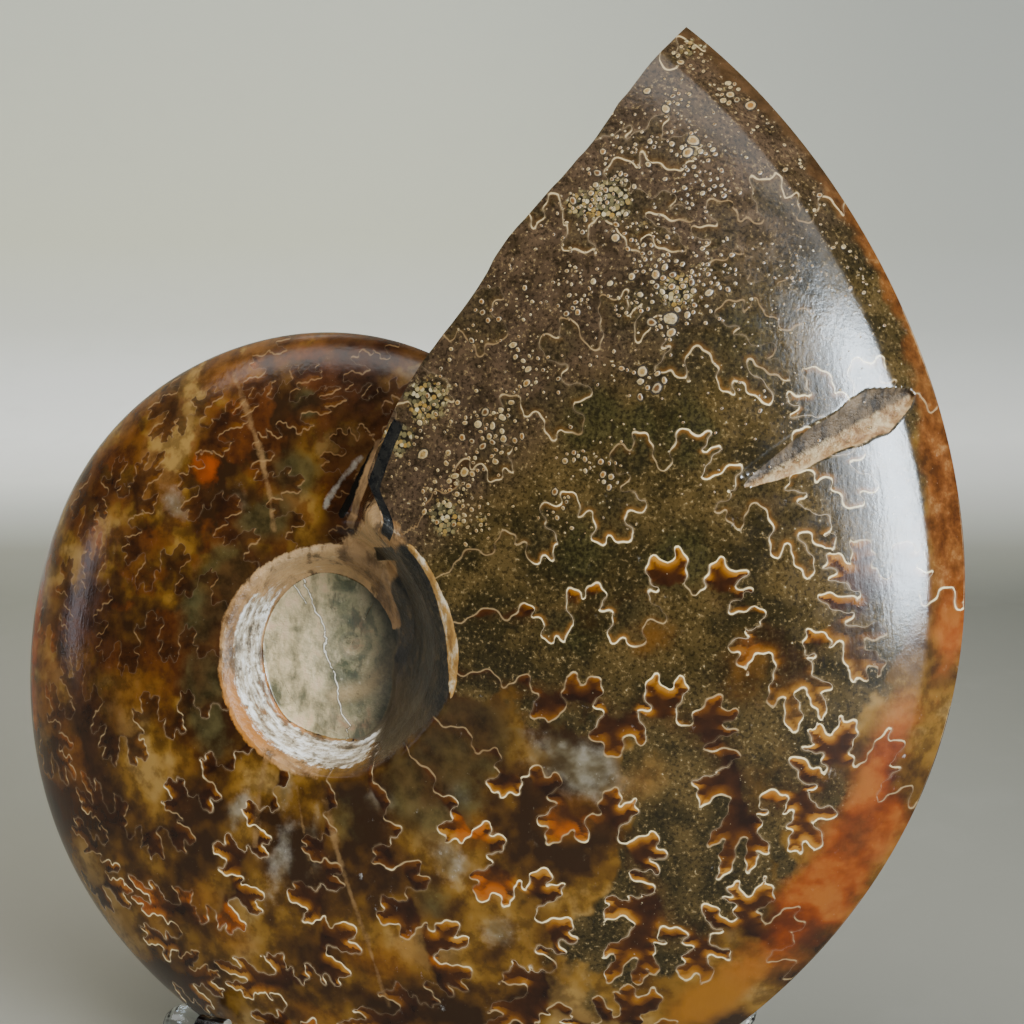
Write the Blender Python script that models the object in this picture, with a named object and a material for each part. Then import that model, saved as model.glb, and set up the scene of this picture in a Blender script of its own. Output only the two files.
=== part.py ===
"""Polished ammonite half leaning in a clear acrylic cradle stand.

The fossil is half of a coiled shell, sawn along its plane of symmetry and sawn
off square at its mouth.  It leans back in two J-shaped acrylic cheeks, which
three clear rods hold apart.  Metres, +Z up, the polished side faces -Y.
"""
import bpy
import bmesh
from math import atan2, cos, exp, hypot, pi, radians, sin, tan
from mathutils import Vector

# ---- Fossil: driving dimensions (lengths are shares of a radius unless named otherwise) ----
SHELL_RADIUS = 0.067            # metres from the centre of the coil to the tip of the mouth
GROWTH = 0.1374                 # radius grows by exp(GROWTH * angle), angle in radians
WHORL_RATIO = exp(2 * pi * GROWTH)
REFERENCE_TURN = 420            # where the radius is SHELL_RADIUS; turns are in degrees
MOUTH_TURN = 424.6              # the saw cut across the mouth
RIPPLES = (0.0062, 0.0025)      # faint fivefold unevenness of the outline
BULGES = ((108, 22, 0.008), (350, 45, 0.004))   # (turn, reach, size) of fuller stretches
HALF_WIDTH = 0.205              # thickness of the half
FLANK_START = 0.36              # where the flank starts to fall towards the outer edge
BEVEL_SLOPE = 1.19              # of the band that a crease parts from the last flank
BEVEL_TURNS = (290, 330)        # where that crease fades in
SEAM = 0.2                      # where a whorl meets the one inside
DISC_HEIGHT = 0.043             # the worn disc at the bottom of the umbilicus
DISC_HOLLOW = 0.010             # how much deeper its middle is
# The wall round the umbilicus: (turn, share at its foot, share at its top).
UMBILICUS_WALL = (
    (64, 0.187, 0.335), (118, 0.235, 0.305), (182, 0.245, 0.305), (235, 0.238, 0.280),
    (285, 0.190, 0.256), (330, 0.100, 0.250), (350, 0.082, 0.252), (388, 0.092, 0.238),
    (440, 0.120, 0.222),
)
LEDGE_TURNS = (-55, 55)         # where the inner whorl comes out of the disc
# How the mouth cut swings aside from a radius: (degrees, distance where it starts, reach).
CUT_SWINGS = ((3.0, 0.82, 0.27), (5.4, 0.58, 0.28), (-11.0, 0.265, 0.045))
CUT_REACH = 80
# The fillet at the cut's foot on the whorl inside: (share, turn where it ends).
FILLET_ENDS = ((0.34, 112.0), (0.40, 99.0), (0.443, 90.0), (0.517, 87.3), (0.607, 84.7), (0.711, 80.0),
               (0.76, 76.0))
LEAN = radians(12)

# ---- Fossil: fineness of the faceted solid ----
COLUMNS_PER_TURN = 72
INNER_SHARES = (0.2, 0.212, 0.228, 0.247, 0.265, 0.283, 0.3, 0.33, 0.365, 0.396, 0.412)

# ---- Stand ----
GAP = 0.0003                    # between touching pieces
UNDER_SHELL = 0.004             # table to the lowest point of the shell
CHEEK_THICKNESS = 0.003
CHEEK_OFFSET = 0.0192           # each cheek from the stand's middle plane
LIP_DEPTH = 0.003
LIP_TOP = 0.0132
SEAT_HEIGHT = 0.0073
NOTCH_FRONT = -0.0126
UPRIGHT_TOP = 0.034
UPRIGHT_WIDTH = 0.0081
RUNNER_HEIGHT = 0.0088
FOOT_FRONT = -0.0205
FOOT_REAR = 0.024
ROD_RADIUS = 0.0025
ROD_LENGTH = 0.0602
ROD_PLACES = {                  # (depth, height) of each rod's axis
    "rod_seat": (-0.0045, 0.0053),
    "rod_rear": (0.0193, 0.0045),
    "rod_top": (0.0008, 0.0300),
}


def smooth(value):
    """Ease from 0 to 1 without a kink."""
    value = min(max(value, 0.0), 1.0)
    return value * value * (3 - 2 * value)


def between(value, table):
    """Straight-line interpolation in a table of (place, value) pairs."""
    for (before, low), (after, high) in zip(table, table[1:]):
        if value < after:
            return low + (high - low) * max(value - before, 0.0) / (after - before)
    return table[-1][1]


def spiral_radius(turn):
    """Radius of the outer edge, in shell radii."""
    angle = radians(turn)
    fullness = 1 + RIPPLES[0] * cos(5 * angle) + RIPPLES[1] * sin(5 * angle)
    last_whorl = turn if turn > MOUTH_TURN - 360.001 else turn + 360
    for middle, reach, size in BULGES:
        fullness += size * exp(-((last_whorl - middle) / reach) ** 2)
    return exp(GROWTH * (angle - radians(REFERENCE_TURN))) * fullness


def flank_height(share, turn):
    """Height of the polished flank over the sawn plane, per unit of radius."""
    fall = min(max((share - FLANK_START) / (1 - FLANK_START), 0.0), 1.0)
    rounded = HALF_WIDTH * (1 - fall ** 2.2) ** 0.7
    creased = min(rounded, BEVEL_SLOPE * (1 - share))
    return rounded + (creased - rounded) * smooth((turn - BEVEL_TURNS[0]) / (BEVEL_TURNS[1] - BEVEL_TURNS[0]))


def disc_height(distance):
    return DISC_HEIGHT - DISC_HOLLOW * exp(-(distance / 0.05) ** 2) + 0.05 * max(distance - 0.1, 0.0)


def wall_rise(turn, share):
    """0 at the foot of the umbilicus wall and below, 1 from its top on."""
    foot = between(turn, [(place, low) for place, low, _ in UMBILICUS_WALL])
    top = between(turn, [(place, high) for place, _, high in UMBILICUS_WALL])
    return smooth((share - foot) / (top - foot))


def whorl_height(turn, share, turned):
    """Height of a whorl that rises out of the umbilicus."""
    floor = disc_height(share * spiral_radius(turn))
    flank = flank_height(share, turn) * spiral_radius(turn)
    return floor + (flank - floor) * wall_rise(turned, share)


def mouth_bend(turn, share):
    """Turn of the mesh towards the saw cut, which isn't quite radial."""
    distance = share * exp(GROWTH * radians(turn - MOUTH_TURN))
    bend = sum(swing * smooth((start - distance) / reach) for swing, start, reach in CUT_SWINGS)
    from_cut = (turn - MOUTH_TURN + 180) % 360 - 180
    return bend * (1 - smooth(abs(from_cut) / CUT_REACH))


def fillet(share, turned):
    """How far the foot of the mouth cut is filled, on the whorl inside."""
    cut = MOUTH_TURN - 360 + mouth_bend(MOUTH_TURN - 360, share)
    end = between(share, FILLET_ENDS)
    across = smooth((end - turned) / (end - cut))
    lower_outside = 1 - 0.25 * smooth((share - SEAM * WHORL_RATIO) / 0.08)
    return across * lower_outside * smooth((0.78 - share) / 0.14)


def surface_height(turn, share, turned):
    """Height over the sawn plane, in shell radii."""
    if turn < MOUTH_TURN - 360.001:
        outer_wall = whorl_height(turn + 360, share / WHORL_RATIO, turned + 360)
        emerging = smooth((turned - LEDGE_TURNS[0]) / (LEDGE_TURNS[1] - LEDGE_TURNS[0]))
        floor = disc_height(share * spiral_radius(turn))
        flank = flank_height(share, turn) * spiral_radius(turn)
        ledge = floor + (flank - floor) * wall_rise(64, share) * emerging
        return max(outer_wall, ledge)
    height = whorl_height(turn, share, turned)
    if turned < 110:
        past_cut = whorl_height(turn + 360, share / WHORL_RATIO, turned + 360)
        height += max(past_cut - height, 0.0) * fillet(share, turned)
    return height


def shell_point(turn, share):
    """A point of the polished side: x across, -y out of the sawn plane, z up."""
    turned = turn + mouth_bend(turn, share)
    distance = share * spiral_radius(turned)
    point = Vector((distance * cos(radians(turned)), -surface_height(turn, share, turned),
                    distance * sin(radians(turned))))
    return point * SHELL_RADIUS


def material(name, colour, roughness, transmission=0.0):
    made = bpy.data.materials.new(name)
    made.use_nodes = True
    made.diffuse_color = (*colour, 1)
    shader = made.node_tree.nodes["Principled BSDF"]
    shader.inputs["Base Color"].default_value = (*colour, 1)
    shader.inputs["Roughness"].default_value = roughness
    shader.inputs["Metallic"].default_value = 0.0
    shader.inputs["Transmission Weight"].default_value = transmission
    return made


def finish_object(name, mesh_builder, surface, sharp_angle=radians(35)):
    """Turn a bmesh into a named object with outward faces and smooth shading."""
    bmesh.ops.recalc_face_normals(mesh_builder, faces=mesh_builder.faces)
    mesh = bpy.data.meshes.new(name)
    mesh_builder.to_mesh(mesh)
    mesh_builder.free()
    mesh.shade_smooth()
    mesh.set_sharp_from_angle(angle=sharp_angle)
    mesh.materials.append(surface)
    thing = bpy.data.objects.new(name, mesh)
    bpy.context.collection.objects.link(thing)
    return thing


def ammonite_half():
    """One closed solid: strips along the spiral, a mouth cut and a sawn back."""
    outer_shares = [share * WHORL_RATIO for share in INNER_SHARES] + [1.0]
    shares = list(INNER_SHARES) + [1 / WHORL_RATIO] + outer_shares
    inner_rows = len(INNER_SHARES) + 1          # rows below the share SEAM * WHORL_RATIO
    step = 360 / COLUMNS_PER_TURN
    build = bmesh.new()
    grid = {}

    def vertex(column, row):
        """The vertex of a column and row; a whorl's seam is the next row ring outside."""
        if row == 0 and column >= COLUMNS_PER_TURN:
            column, row = column - COLUMNS_PER_TURN, inner_rows
        if (column, row) not in grid:
            turn = MOUTH_TURN - (2 * COLUMNS_PER_TURN - column) * step
            grid[column, row] = build.verts.new(shell_point(turn, shares[row]))
        return grid[column, row]

    # The polished side: the worn inner whorl first, then the outer whorl.
    for column in range(2 * COLUMNS_PER_TURN):
        rows = inner_rows if column < COLUMNS_PER_TURN else len(shares) - 1
        for row in range(rows):
            build.faces.new((vertex(column, row), vertex(column + 1, row),
                             vertex(column + 1, row + 1), vertex(column, row + 1)))

    # The middle of the umbilicus.
    centre = build.verts.new((0, -disc_height(0) * SHELL_RADIUS, 0))
    loop = [vertex(column, 0) for column in range(COLUMNS_PER_TURN + 1)]
    loop += [vertex(0, row) for row in range(inner_rows - 1, 0, -1)]
    for here, there in zip(loop, loop[1:] + loop[:1]):
        build.faces.new((centre, there, here))

    # The saw cut across the mouth stands on the whorl inside and on the sawn back.
    mouth = [vertex(2 * COLUMNS_PER_TURN, row) for row in range(len(shares))]
    foot = [vertex(COLUMNS_PER_TURN, inner_rows + row) for row in range(inner_rows)]
    foot += [build.verts.new((top.co.x, 0, top.co.z)) for top in mouth[inner_rows:-1]]
    foot.append(mouth[-1])
    for row in range(len(shares) - 1):
        corners = [mouth[row], mouth[row + 1], foot[row + 1], foot[row]]
        build.faces.new([corner for place, corner in enumerate(corners) if corner not in corners[:place]])

    # The sawn back.
    rim = [vertex(column, len(shares) - 1) for column in range(COLUMNS_PER_TURN, 2 * COLUMNS_PER_TURN + 1)]
    build.faces.new(rim + foot[-2:inner_rows - 1:-1])

    stone = material("polished_fossil", (0.16, 0.09, 0.04), 0.12)
    shell = finish_object("ammonite_half", build, stone)
    shell.rotation_euler = (-LEAN, 0, 0)
    return shell


def rounded_outline(corners, facets=6):
    """Points of a polygon whose corners (depth, height, radius) become arcs."""
    points = []
    for place, (across, up, radius) in enumerate(corners):
        here = Vector((across, up))
        before = (Vector(corners[place - 1][:2]) - here).normalized()
        after = (Vector(corners[(place + 1) % len(corners)][:2]) - here).normalized()
        half = before.angle(after) / 2
        centre = here + (before + after).normalized() * (radius / sin(half))
        start = here + before * (radius / tan(half)) - centre
        end = here + after * (radius / tan(half)) - centre
        first = atan2(start.y, start.x)
        sweep = (atan2(end.y, end.x) - first + pi) % (2 * pi) - pi
        for facet in range(facets + 1):
            angle = first + sweep * facet / facets
            points.append((centre.x + radius * cos(angle), centre.y + radius * sin(angle)))
    return points


def back_plane(height, pole_height):
    """Depth of the sawn back at a height over the table."""
    return (height - pole_height) * tan(LEAN)


def cheek(name, x, pole_height, surface):
    """A J-shaped plate: foot, front lip, notch for the rim, leaning upright."""
    behind = GAP / cos(LEAN)
    seat_back = back_plane(SEAT_HEIGHT, pole_height) + behind
    top_front = back_plane(UPRIGHT_TOP, pole_height) + behind
    lip_front = NOTCH_FRONT - LIP_DEPTH
    lip_round = LIP_DEPTH / 2 - 0.00002
    corners = (
        (FOOT_FRONT, 0, 0.0012), (FOOT_REAR, 0, 0.0012),
        (FOOT_REAR, RUNNER_HEIGHT, 0.0040),
        (seat_back + UPRIGHT_WIDTH, RUNNER_HEIGHT, 0.0050),
        (top_front + UPRIGHT_WIDTH, UPRIGHT_TOP, 0.0036),
        (top_front, UPRIGHT_TOP, 0.0036),
        (seat_back, SEAT_HEIGHT, 0.0004),
        (NOTCH_FRONT, SEAT_HEIGHT, 0.0010),
        (NOTCH_FRONT, LIP_TOP, lip_round), (lip_front, LIP_TOP, lip_round),
        (lip_front, RUNNER_HEIGHT * 0.6, 0.0030),
        (FOOT_FRONT, RUNNER_HEIGHT * 0.4, 0.0016),
    )
    build = bmesh.new()
    side = [build.verts.new((x - CHEEK_THICKNESS / 2, depth, up))
            for depth, up in rounded_outline(corners)]
    face = build.faces.new(side)
    grown = bmesh.ops.extrude_face_region(build, geom=[face])["geom"]
    moved = [item for item in grown if isinstance(item, bmesh.types.BMVert)]
    bmesh.ops.translate(build, vec=(CHEEK_THICKNESS, 0, 0), verts=moved)
    plate = finish_object(name, build, surface)
    for rod_name, (depth, height) in ROD_PLACES.items():
        cutter = rod_cutter(f"hole_{rod_name}_{name}", x, depth, height)
        hole = plate.modifiers.new(rod_name, "BOOLEAN")
        hole.operation = "DIFFERENCE"
        hole.solver = "EXACT"
        hole.object = cutter
    return plate


def rod_cutter(name, x, depth, height):
    build = bmesh.new()
    bmesh.ops.create_cone(build, cap_ends=True, segments=24, radius1=ROD_RADIUS + GAP,
                          radius2=ROD_RADIUS + GAP, depth=CHEEK_THICKNESS * 3)
    cutter = finish_object(name, build, material(name, (0.5, 0.5, 0.5), 0.5))
    cutter.rotation_euler = (0, pi / 2, 0)
    cutter.location = (x, depth, height)
    cutter.hide_render = True
    cutter.display_type = "WIRE"
    return cutter


def rod(name, x, depth, height, surface, segments=24, rings=5):
    """A clear rod along X with a domed end on each side."""
    build = bmesh.new()
    straight = ROD_LENGTH / 2 - ROD_RADIUS
    arc = [radians(90) * ring / rings for ring in range(1, rings + 1)]
    profile = [(ROD_RADIUS * sin(turn), straight + ROD_RADIUS * cos(turn)) for turn in arc]
    profile = profile + [(radius, -along) for radius, along in reversed(profile)]
    rows = []
    for radius, along in profile:
        rows.append([build.verts.new((along, radius * cos(2 * pi * spoke / segments),
                                      radius * sin(2 * pi * spoke / segments)))
                     for spoke in range(segments)])
    for near, far in zip(rows, rows[1:]):
        for spoke in range(segments):
            after = (spoke + 1) % segments
            build.faces.new((near[spoke], near[after], far[after], far[spoke]))
    for row, side in ((rows[0], 1), (rows[-1], -1)):
        tip = build.verts.new((side * ROD_LENGTH / 2, 0, 0))
        for spoke in range(segments):
            build.faces.new((tip, row[spoke], row[(spoke + 1) % segments]))
    bar = finish_object(name, build, surface)
    bar.location = (x, depth, height)
    return bar


def centre_on_origin(things):
    """Slide everything so that the middle of its outline stands on the origin."""
    bpy.context.view_layer.update()
    corners = [thing.matrix_world @ vertex.co for thing in things if not thing.hide_render
               for vertex in thing.data.vertices]
    middle = [(min(corner[axis] for corner in corners) + max(corner[axis] for corner in corners)) / 2
              for axis in (0, 1)]
    for thing in things:
        thing.location.x -= middle[0]
        thing.location.y -= middle[1]


def main():
    for thing in list(bpy.data.objects):
        bpy.data.objects.remove(thing, do_unlink=True)

    shell = ammonite_half()
    bpy.context.view_layer.update()
    lowest = min((shell.matrix_world @ vertex.co for vertex in shell.data.vertices),
                 key=lambda point: point.z)
    pole_height = UNDER_SHELL - lowest.z
    shell.location.z = pole_height

    acrylic = {name: material(f"acrylic_{name}", (0.9, 0.93, 0.95), 0.04, 1.0)
               for name in ("cheek_left", "cheek_right", *ROD_PLACES)}
    cheek("cheek_left", lowest.x - CHEEK_OFFSET, pole_height, acrylic["cheek_left"])
    cheek("cheek_right", lowest.x + CHEEK_OFFSET, pole_height, acrylic["cheek_right"])
    for name, (depth, height) in ROD_PLACES.items():
        rod(name, lowest.x, depth, height, acrylic[name])
    centre_on_origin(list(bpy.context.collection.objects))


main()
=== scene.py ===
from math import cos, exp, pi, radians, sin

import bpy
import numpy as np
from mathutils import Matrix, Vector
from mathutils.kdtree import KDTree


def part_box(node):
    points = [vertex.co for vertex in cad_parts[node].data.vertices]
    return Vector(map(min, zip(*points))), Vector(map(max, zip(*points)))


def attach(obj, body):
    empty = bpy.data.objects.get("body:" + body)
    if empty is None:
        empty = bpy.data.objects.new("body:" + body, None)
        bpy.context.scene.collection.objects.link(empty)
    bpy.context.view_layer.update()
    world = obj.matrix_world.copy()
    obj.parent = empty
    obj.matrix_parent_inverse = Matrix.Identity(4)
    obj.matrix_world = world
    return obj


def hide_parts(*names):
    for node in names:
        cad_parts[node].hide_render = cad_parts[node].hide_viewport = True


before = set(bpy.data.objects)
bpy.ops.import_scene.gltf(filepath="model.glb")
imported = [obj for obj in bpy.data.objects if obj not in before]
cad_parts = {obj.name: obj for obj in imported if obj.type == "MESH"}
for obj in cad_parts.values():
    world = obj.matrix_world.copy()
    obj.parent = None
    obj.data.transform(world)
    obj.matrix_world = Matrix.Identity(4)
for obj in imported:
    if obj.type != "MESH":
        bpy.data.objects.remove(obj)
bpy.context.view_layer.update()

RANDOM = np.random.default_rng(7)
MM = 1000                       # millimetres in a metre

# ---- The fossil's shape, as in the frame ----
GROWTH = 0.1374
WHORL_RATIO = exp(2 * pi * GROWTH)
REFERENCE_TURN, MOUTH_TURN = 420.0, 424.6
RIPPLES = (0.0062, 0.0025)
BULGES = ((108, 22, 0.008), (350, 45, 0.004))       # (turn, reach in turn, size)
HALF_WIDTH, FLANK_START, FLANK_ROUNDING = 0.205, 0.36, (2.2, 0.7)
BEVEL_SLOPE, BEVEL_TURNS = 1.19, (290, 330)
SEAM = 0.2
DISC_HEIGHT, DISC_HOLLOW = 0.043, 0.010
UMBILICUS_WALL = [              # (turn, share at its foot, share at its top)
    (64, .187, .335), (118, .235, .305), (182, .245, .305), (235, .238, .280), (285, .190, .256),
    (330, .100, .250), (350, .082, .252), (388, .092, .238), (440, .120, .222),
]
LEDGE_TURNS = (-55, 55)
CUT_SWINGS = ((3.0, .82, .27), (5.4, .58, .28), (-11.0, .265, .045))    # (turn, start, reach)
CUT_REACH = 80.0
CHIPS_REACH, CHIPS_SIZE = 2.5, 0.35
# Where the fillet at the foot of the cut ends, as (share, turn).
FILLET_ENDS = [(.34, 112), (.40, 99), (.443, 90), (.517, 87.3), (.607, 84.7), (.711, 80), (.76, 76)]
LEAN = radians(12)
INSIDE_THE_FRAME = 0.9988       # keeps the finer mesh inside the facets of the frame

# ---- The frilled line of one septum on the flank, from the umbilicus to the outer edge ----
# Traced from the photo. Each point is (turn from the tip of the lateral lobe, share of the
# whorl's radius).
SEPTUM = [
    # small lobes beside the umbilicus
    (12.5, .235), (11, .262), (13.2, .285), (13.6, .308), (10.6, .322), (8.8, .334), (10.4, .346),
    # second lateral lobe and saddle
    (12.9, .362), (11.1, .378), (8.6, .376), (7.7, .391), (3.7, .386), (1.9, .4005), (3, .411),
    (1.6, .4215), (4.3, .427), (4.9, .4335), (5.9, .438), (7.8, .434), (9.3, .4275), (10.4, .431),
    (12, .4305), (13.3, .43), (14, .437), (13.6, .4475), (11.8, .4555), (12.6, .461), (14.1, .47),
    (13.4, .482), (11, .4895), (8.6, .48),
    # lateral lobe
    (7.9, .485), (7.7, .497), (6.7, .5), (4.5, .495), (2.5, .4895), (1.2, .499), (2, .512), (.2, .522),
    (-.1, .535), (.8, .548), (3.2, .5445), (4.4, .549), (3.9, .563),
    # lateral saddle
    (3.2, .5745), (4.5, .5765), (5.5, .575), (7, .562), (8.3, .554), (9.4, .5535), (9.2, .566),
    (9.9, .57), (11.2, .559), (12.4, .5555), (14.2, .556), (15.4, .567), (14.4, .58), (13.1, .588),
    (13.8, .595), (15.2, .602), (14.4, .6115), (13.3, .618), (11.2, .614), (9, .61), (7.5, .621),
    (7.8, .634), (9.2, .6375), (10.5, .648), (11.6, .654), (12, .665), (11.4, .674), (10.2, .674),
    (9.9, .683), (10, .693), (9.5, .7), (8.5, .688), (7.9, .68), (7.4, .683), (7.3, .703), (6.9, .704),
    (6.5, .693), (6.1, .687), (5.2, .673), (4.3, .668), (3.6, .675), (3.9, .688), (4.5, .7),
    (4.6, .712), (4.2, .72), (3.4, .722), (2.7, .713), (1.9, .713), (1.5, .703), (1.2, .695),
    (.5, .702), (.1, .69), (-.4, .675), (-.9, .67), (-1.6, .677), (-2, .685), (-3.3, .687),
    (-4.2, .698), (-4.8, .702), (-3.9, .703), (-2.7, .71), (-1.8, .717),
    # first lateral lobe
    (-1.7, .73), (-2.4, .738), (-4.2, .743), (-5.4, .742), (-7.1, .735), (-8.3, .74), (-9.2, .748),
    (-8.2, .752), (-7.4, .7575), (-8, .765), (-9.8, .768), (-11, .776), (-12.1, .79), (-10.2, .795),
    (-8.5, .788), (-6.8, .7795), (-6.1, .784), (-6.3, .793), (-7.8, .8), (-8.8, .81), (-9.9, .826),
    (-8, .825), (-7.2, .819), (-6.8, .812), (-6.4, .829), (-5.2, .82), (-4.6, .8), (-3.7, .8),
    (-3.1, .79), (-2.6, .785), (-2.2, .794), (-1.7, .795), (-1.5, .785), (-.5, .776), (.2, .778),
    (.9, .785), (1.1, .8), (.7, .812), (-.2, .817), (-1.1, .815), (-.4, .83), (-1, .837), (-2.3, .835),
    (-3.2, .845), (-4.3, .846), (-5.1, .855), (-5.1, .866), (-5.4, .875), (-3.8, .872), (-4.1, .885),
    (-4.7, .893), (-3.8, .897), (-2.9, .893),
    # external saddle
    (-2, .88), (-1.3, .867), (-.6, .868), (-.3, .88), (-.3, .892), (.4, .893), (1, .885), (.9, .865),
    (1, .853), (1.8, .837), (2.3, .847), (3, .848), (3.2, .833), (3.6, .818), (4.2, .815), (4.6, .803),
    (5.4, .798), (5.9, .807), (5.5, .823), (5.1, .833), (5.2, .843), (4.5, .853), (5.4, .855),
    (5.9, .843), (6.7, .837), (6.8, .823),
    # beside the outer edge
    (7.4, .812), (7.9, .825), (8.4, .82), (9, .81), (9.6, .813), (10.2, .818), (9.6, .83), (8.7, .845),
    (10.2, .848), (11.4, .847), (11.1, .857), (10.8, .87), (9.6, .878), (8.9, .88), (7.4, .875),
    (7, .883), (5.9, .892), (6.1, .898), (7, .903), (8.7, .905), (9.5, .922), (8.6, .928), (8.2, .937),
    (8.4, .947), (7.9, .952), (6.7, .947), (6.1, .938), (5.7, .95), (5.2, .955), (4.2, .948),
    (3.3, .938), (2, .945), (2.3, .957), (3.2, .967), (3.6, .98), (2.9, .985), (1.1, .987),
    (1.4, .995), (1.7, 1),
]
# Middle line of the frilled septum, where its fingers spread from.
SEPTUM_MIDDLE = [(.2, 11.), (.36, 9.5), (.45, 8.5), (.60, 8.5), (.68, 5.5), (.78, -1.5),
                 (.84, 2.5), (.88, 4.5), (.94, 4.), (1., 1.5)]
SEPTUM_WIDTH = 20.9             # spacing, in turn, for which SEPTUM is drawn
CHAMBER_TURN = 20.5             # length of a chamber of the inner whorls
SEPTUM_TURNS = [62, 83.5, 105.8, 128.5, 152.5, 175.6, 198.7, 221.8, 243, 264.9, 287.3, 308.8,
                328, 348.9, 367.7, 384.8, 403.2, 421]
NOTCH_DEPTH, NOTCH_SPACING = 0.12, 1.6      # millimetres
LINE_BAND = 0.0006              # metres over which the phase steps by one across a septum
FARTHEST_GAP = 3.0              # millimetres from a line, past which nothing changes
FAR_AWAY = 1e9                  # stands for a distance not found yet


def ease(value):
    """Smooth way from 0 to 1 while the value goes from 0 to 1."""
    value = np.clip(value, 0.0, 1.0)
    return value * value * (3 - 2 * value)


def between(value, table):
    """Reads a table of (place, value), with straight lines between its rows."""
    places, values = np.array(table).T
    return np.interp(value, places, values)


def radius_at(turn):
    """Radius of the outer edge, in shell radii."""
    angle = np.radians(turn)
    fullness = 1 + RIPPLES[0] * np.cos(5 * angle) + RIPPLES[1] * np.sin(5 * angle)
    last_whorl = MOUTH_TURN - (MOUTH_TURN - turn) % 360
    for middle, reach, size in BULGES:
        fullness = fullness + size * np.exp(-((last_whorl - middle) / reach) ** 2)
    return np.exp(GROWTH * (angle - radians(REFERENCE_TURN))) * fullness


def flank_height(share, turn):
    """The polished flank, with a crease beside the outer edge on the last stretch."""
    fall = np.clip((share - FLANK_START) / (1 - FLANK_START), 0.0, 1.0)
    power, root = FLANK_ROUNDING
    rounded = HALF_WIDTH * (1 - fall ** power) ** root
    creased = np.minimum(rounded, BEVEL_SLOPE * (1 - share))
    start, end = BEVEL_TURNS
    return rounded + (creased - rounded) * ease((turn - start) / (end - start))


def clouds(x, y, size, detail=4, rough=0.55, seed=0):
    """Soft blotches from 0 to 1, with features of that size."""
    side = 64
    table = np.random.default_rng(seed).random((side, side))
    total, weight = 0.0, 0.0
    for octave in range(detail):
        u, v = x / size * 2 ** octave + 7.3 * octave, y / size * 2 ** octave + 3.1 * octave
        i, j = np.floor(u).astype(int), np.floor(v).astype(int)
        s, t = ease(u - i), ease(v - j)
        here, beyond, row, above = i % side, (i + 1) % side, j % side, (j + 1) % side
        low = table[here, row] * (1 - s) + table[beyond, row] * s
        high = table[here, above] * (1 - s) + table[beyond, above] * s
        total = total + (low * (1 - t) + high * t) * rough ** octave
        weight += rough ** octave
    return np.clip((total / weight - 0.5) * 1.7 + 0.5, 0, 1)


def off_cut(turn):
    """Turn past the saw cut, from -180 to 180."""
    return (turn - MOUTH_TURN + 180) % 360 - 180


def cut_swing(turn, share):
    """How far the saw cut bends away from a straight ray, less and less with distance from it."""
    distance = share * np.exp(GROWTH * np.radians(turn - MOUTH_TURN))
    swing = sum(degrees * ease((start - distance) / reach) for degrees, start, reach in CUT_SWINGS)
    return swing * (1 - ease(np.abs(off_cut(turn)) / CUT_REACH))


def mouth_bend(turn, share):
    """Turn of the mesh towards the saw cut, with the cut's small chips."""
    distance = share * np.exp(GROWTH * np.radians(turn - MOUTH_TURN))
    chips = (clouds(distance, distance * 0, 0.07, 3, 0.6, seed=4) - 0.5) * ease((1.0 - distance) / .05)
    at_cut = ease(1 - np.abs(off_cut(turn)) / CHIPS_REACH)
    return cut_swing(turn, share) + chips * CHIPS_SIZE * at_cut * ease((distance - .25) / .1)


# ---- Where the fossil lies in the frame ----
def place_fossil():
    """The shell's radius in metres and the centre of its coil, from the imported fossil's box."""
    low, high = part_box("ammonite_half")
    turn = np.linspace(MOUTH_TURN - 360, MOUTH_TURN, 73)      # the frame's columns
    turned = turn + cut_swing(turn, 1.0)
    across = radius_at(turned) * np.cos(np.radians(turned))
    up = radius_at(turned) * np.sin(np.radians(turned))
    shell_radius = (high.x - low.x) / (across.max() - across.min())
    pole = Vector((low.x - across.min() * shell_radius,
                   high.y - up.max() * sin(LEAN) * shell_radius,
                   high.z - up.max() * cos(LEAN) * shell_radius))
    return shell_radius, pole


SHELL_RADIUS, POLE = place_fossil()
UNIT = SHELL_RADIUS * INSIDE_THE_FRAME
FOSSIL_PLACE = Matrix.Translation(POLE) @ Matrix.Rotation(-LEAN, 4, "X")


# ---- The groove that a grinding wheel left near the outer edge ----
GROOVE_ENDS = ((385.9, .722), (388.3, .972))
GROOVE_WIDTH, GROOVE_DEPTH = 0.03, 0.010


def plane_point(turn, share):
    """Place on the sawn plane, across and up from the middle of the coil."""
    distance = share * radius_at(turn)
    return distance * np.cos(np.radians(turn)), distance * np.sin(np.radians(turn))


def groove_shape(turn, share):
    """(depth from 0 to 1, side from -1 to 1) of the groove, pointed below and blunt above."""
    (x0, z0), (x1, z1) = (plane_point(*end) for end in GROOVE_ENDS)
    x, z = plane_point(turn, share)
    length = np.hypot(x1 - x0, z1 - z0)
    along = ((x - x0) * (x1 - x0) + (z - z0) * (z1 - z0)) / length ** 2
    side = ((x - x0) * (z1 - z0) - (z - z0) * (x1 - x0)) / length
    swell = np.sqrt(np.clip(along * 1.25, 0, 1)) * np.sqrt(np.clip((1 - along) * 5, 0, 1))
    swell = swell * (1 + (clouds(x, z, .06, 4, .5, seed=97) - .5) * .45)
    across = np.abs(side) / np.maximum(GROOVE_WIDTH * 1.05 * swell, 1e-5)
    inside = (along > 0) & (along < 1) & (np.abs(turn - GROOVE_ENDS[0][0]) < 15)
    return np.where(inside, np.clip(1 - across, 0, 1), 0.0), np.clip(side / GROOVE_WIDTH, -1, 1)


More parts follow.
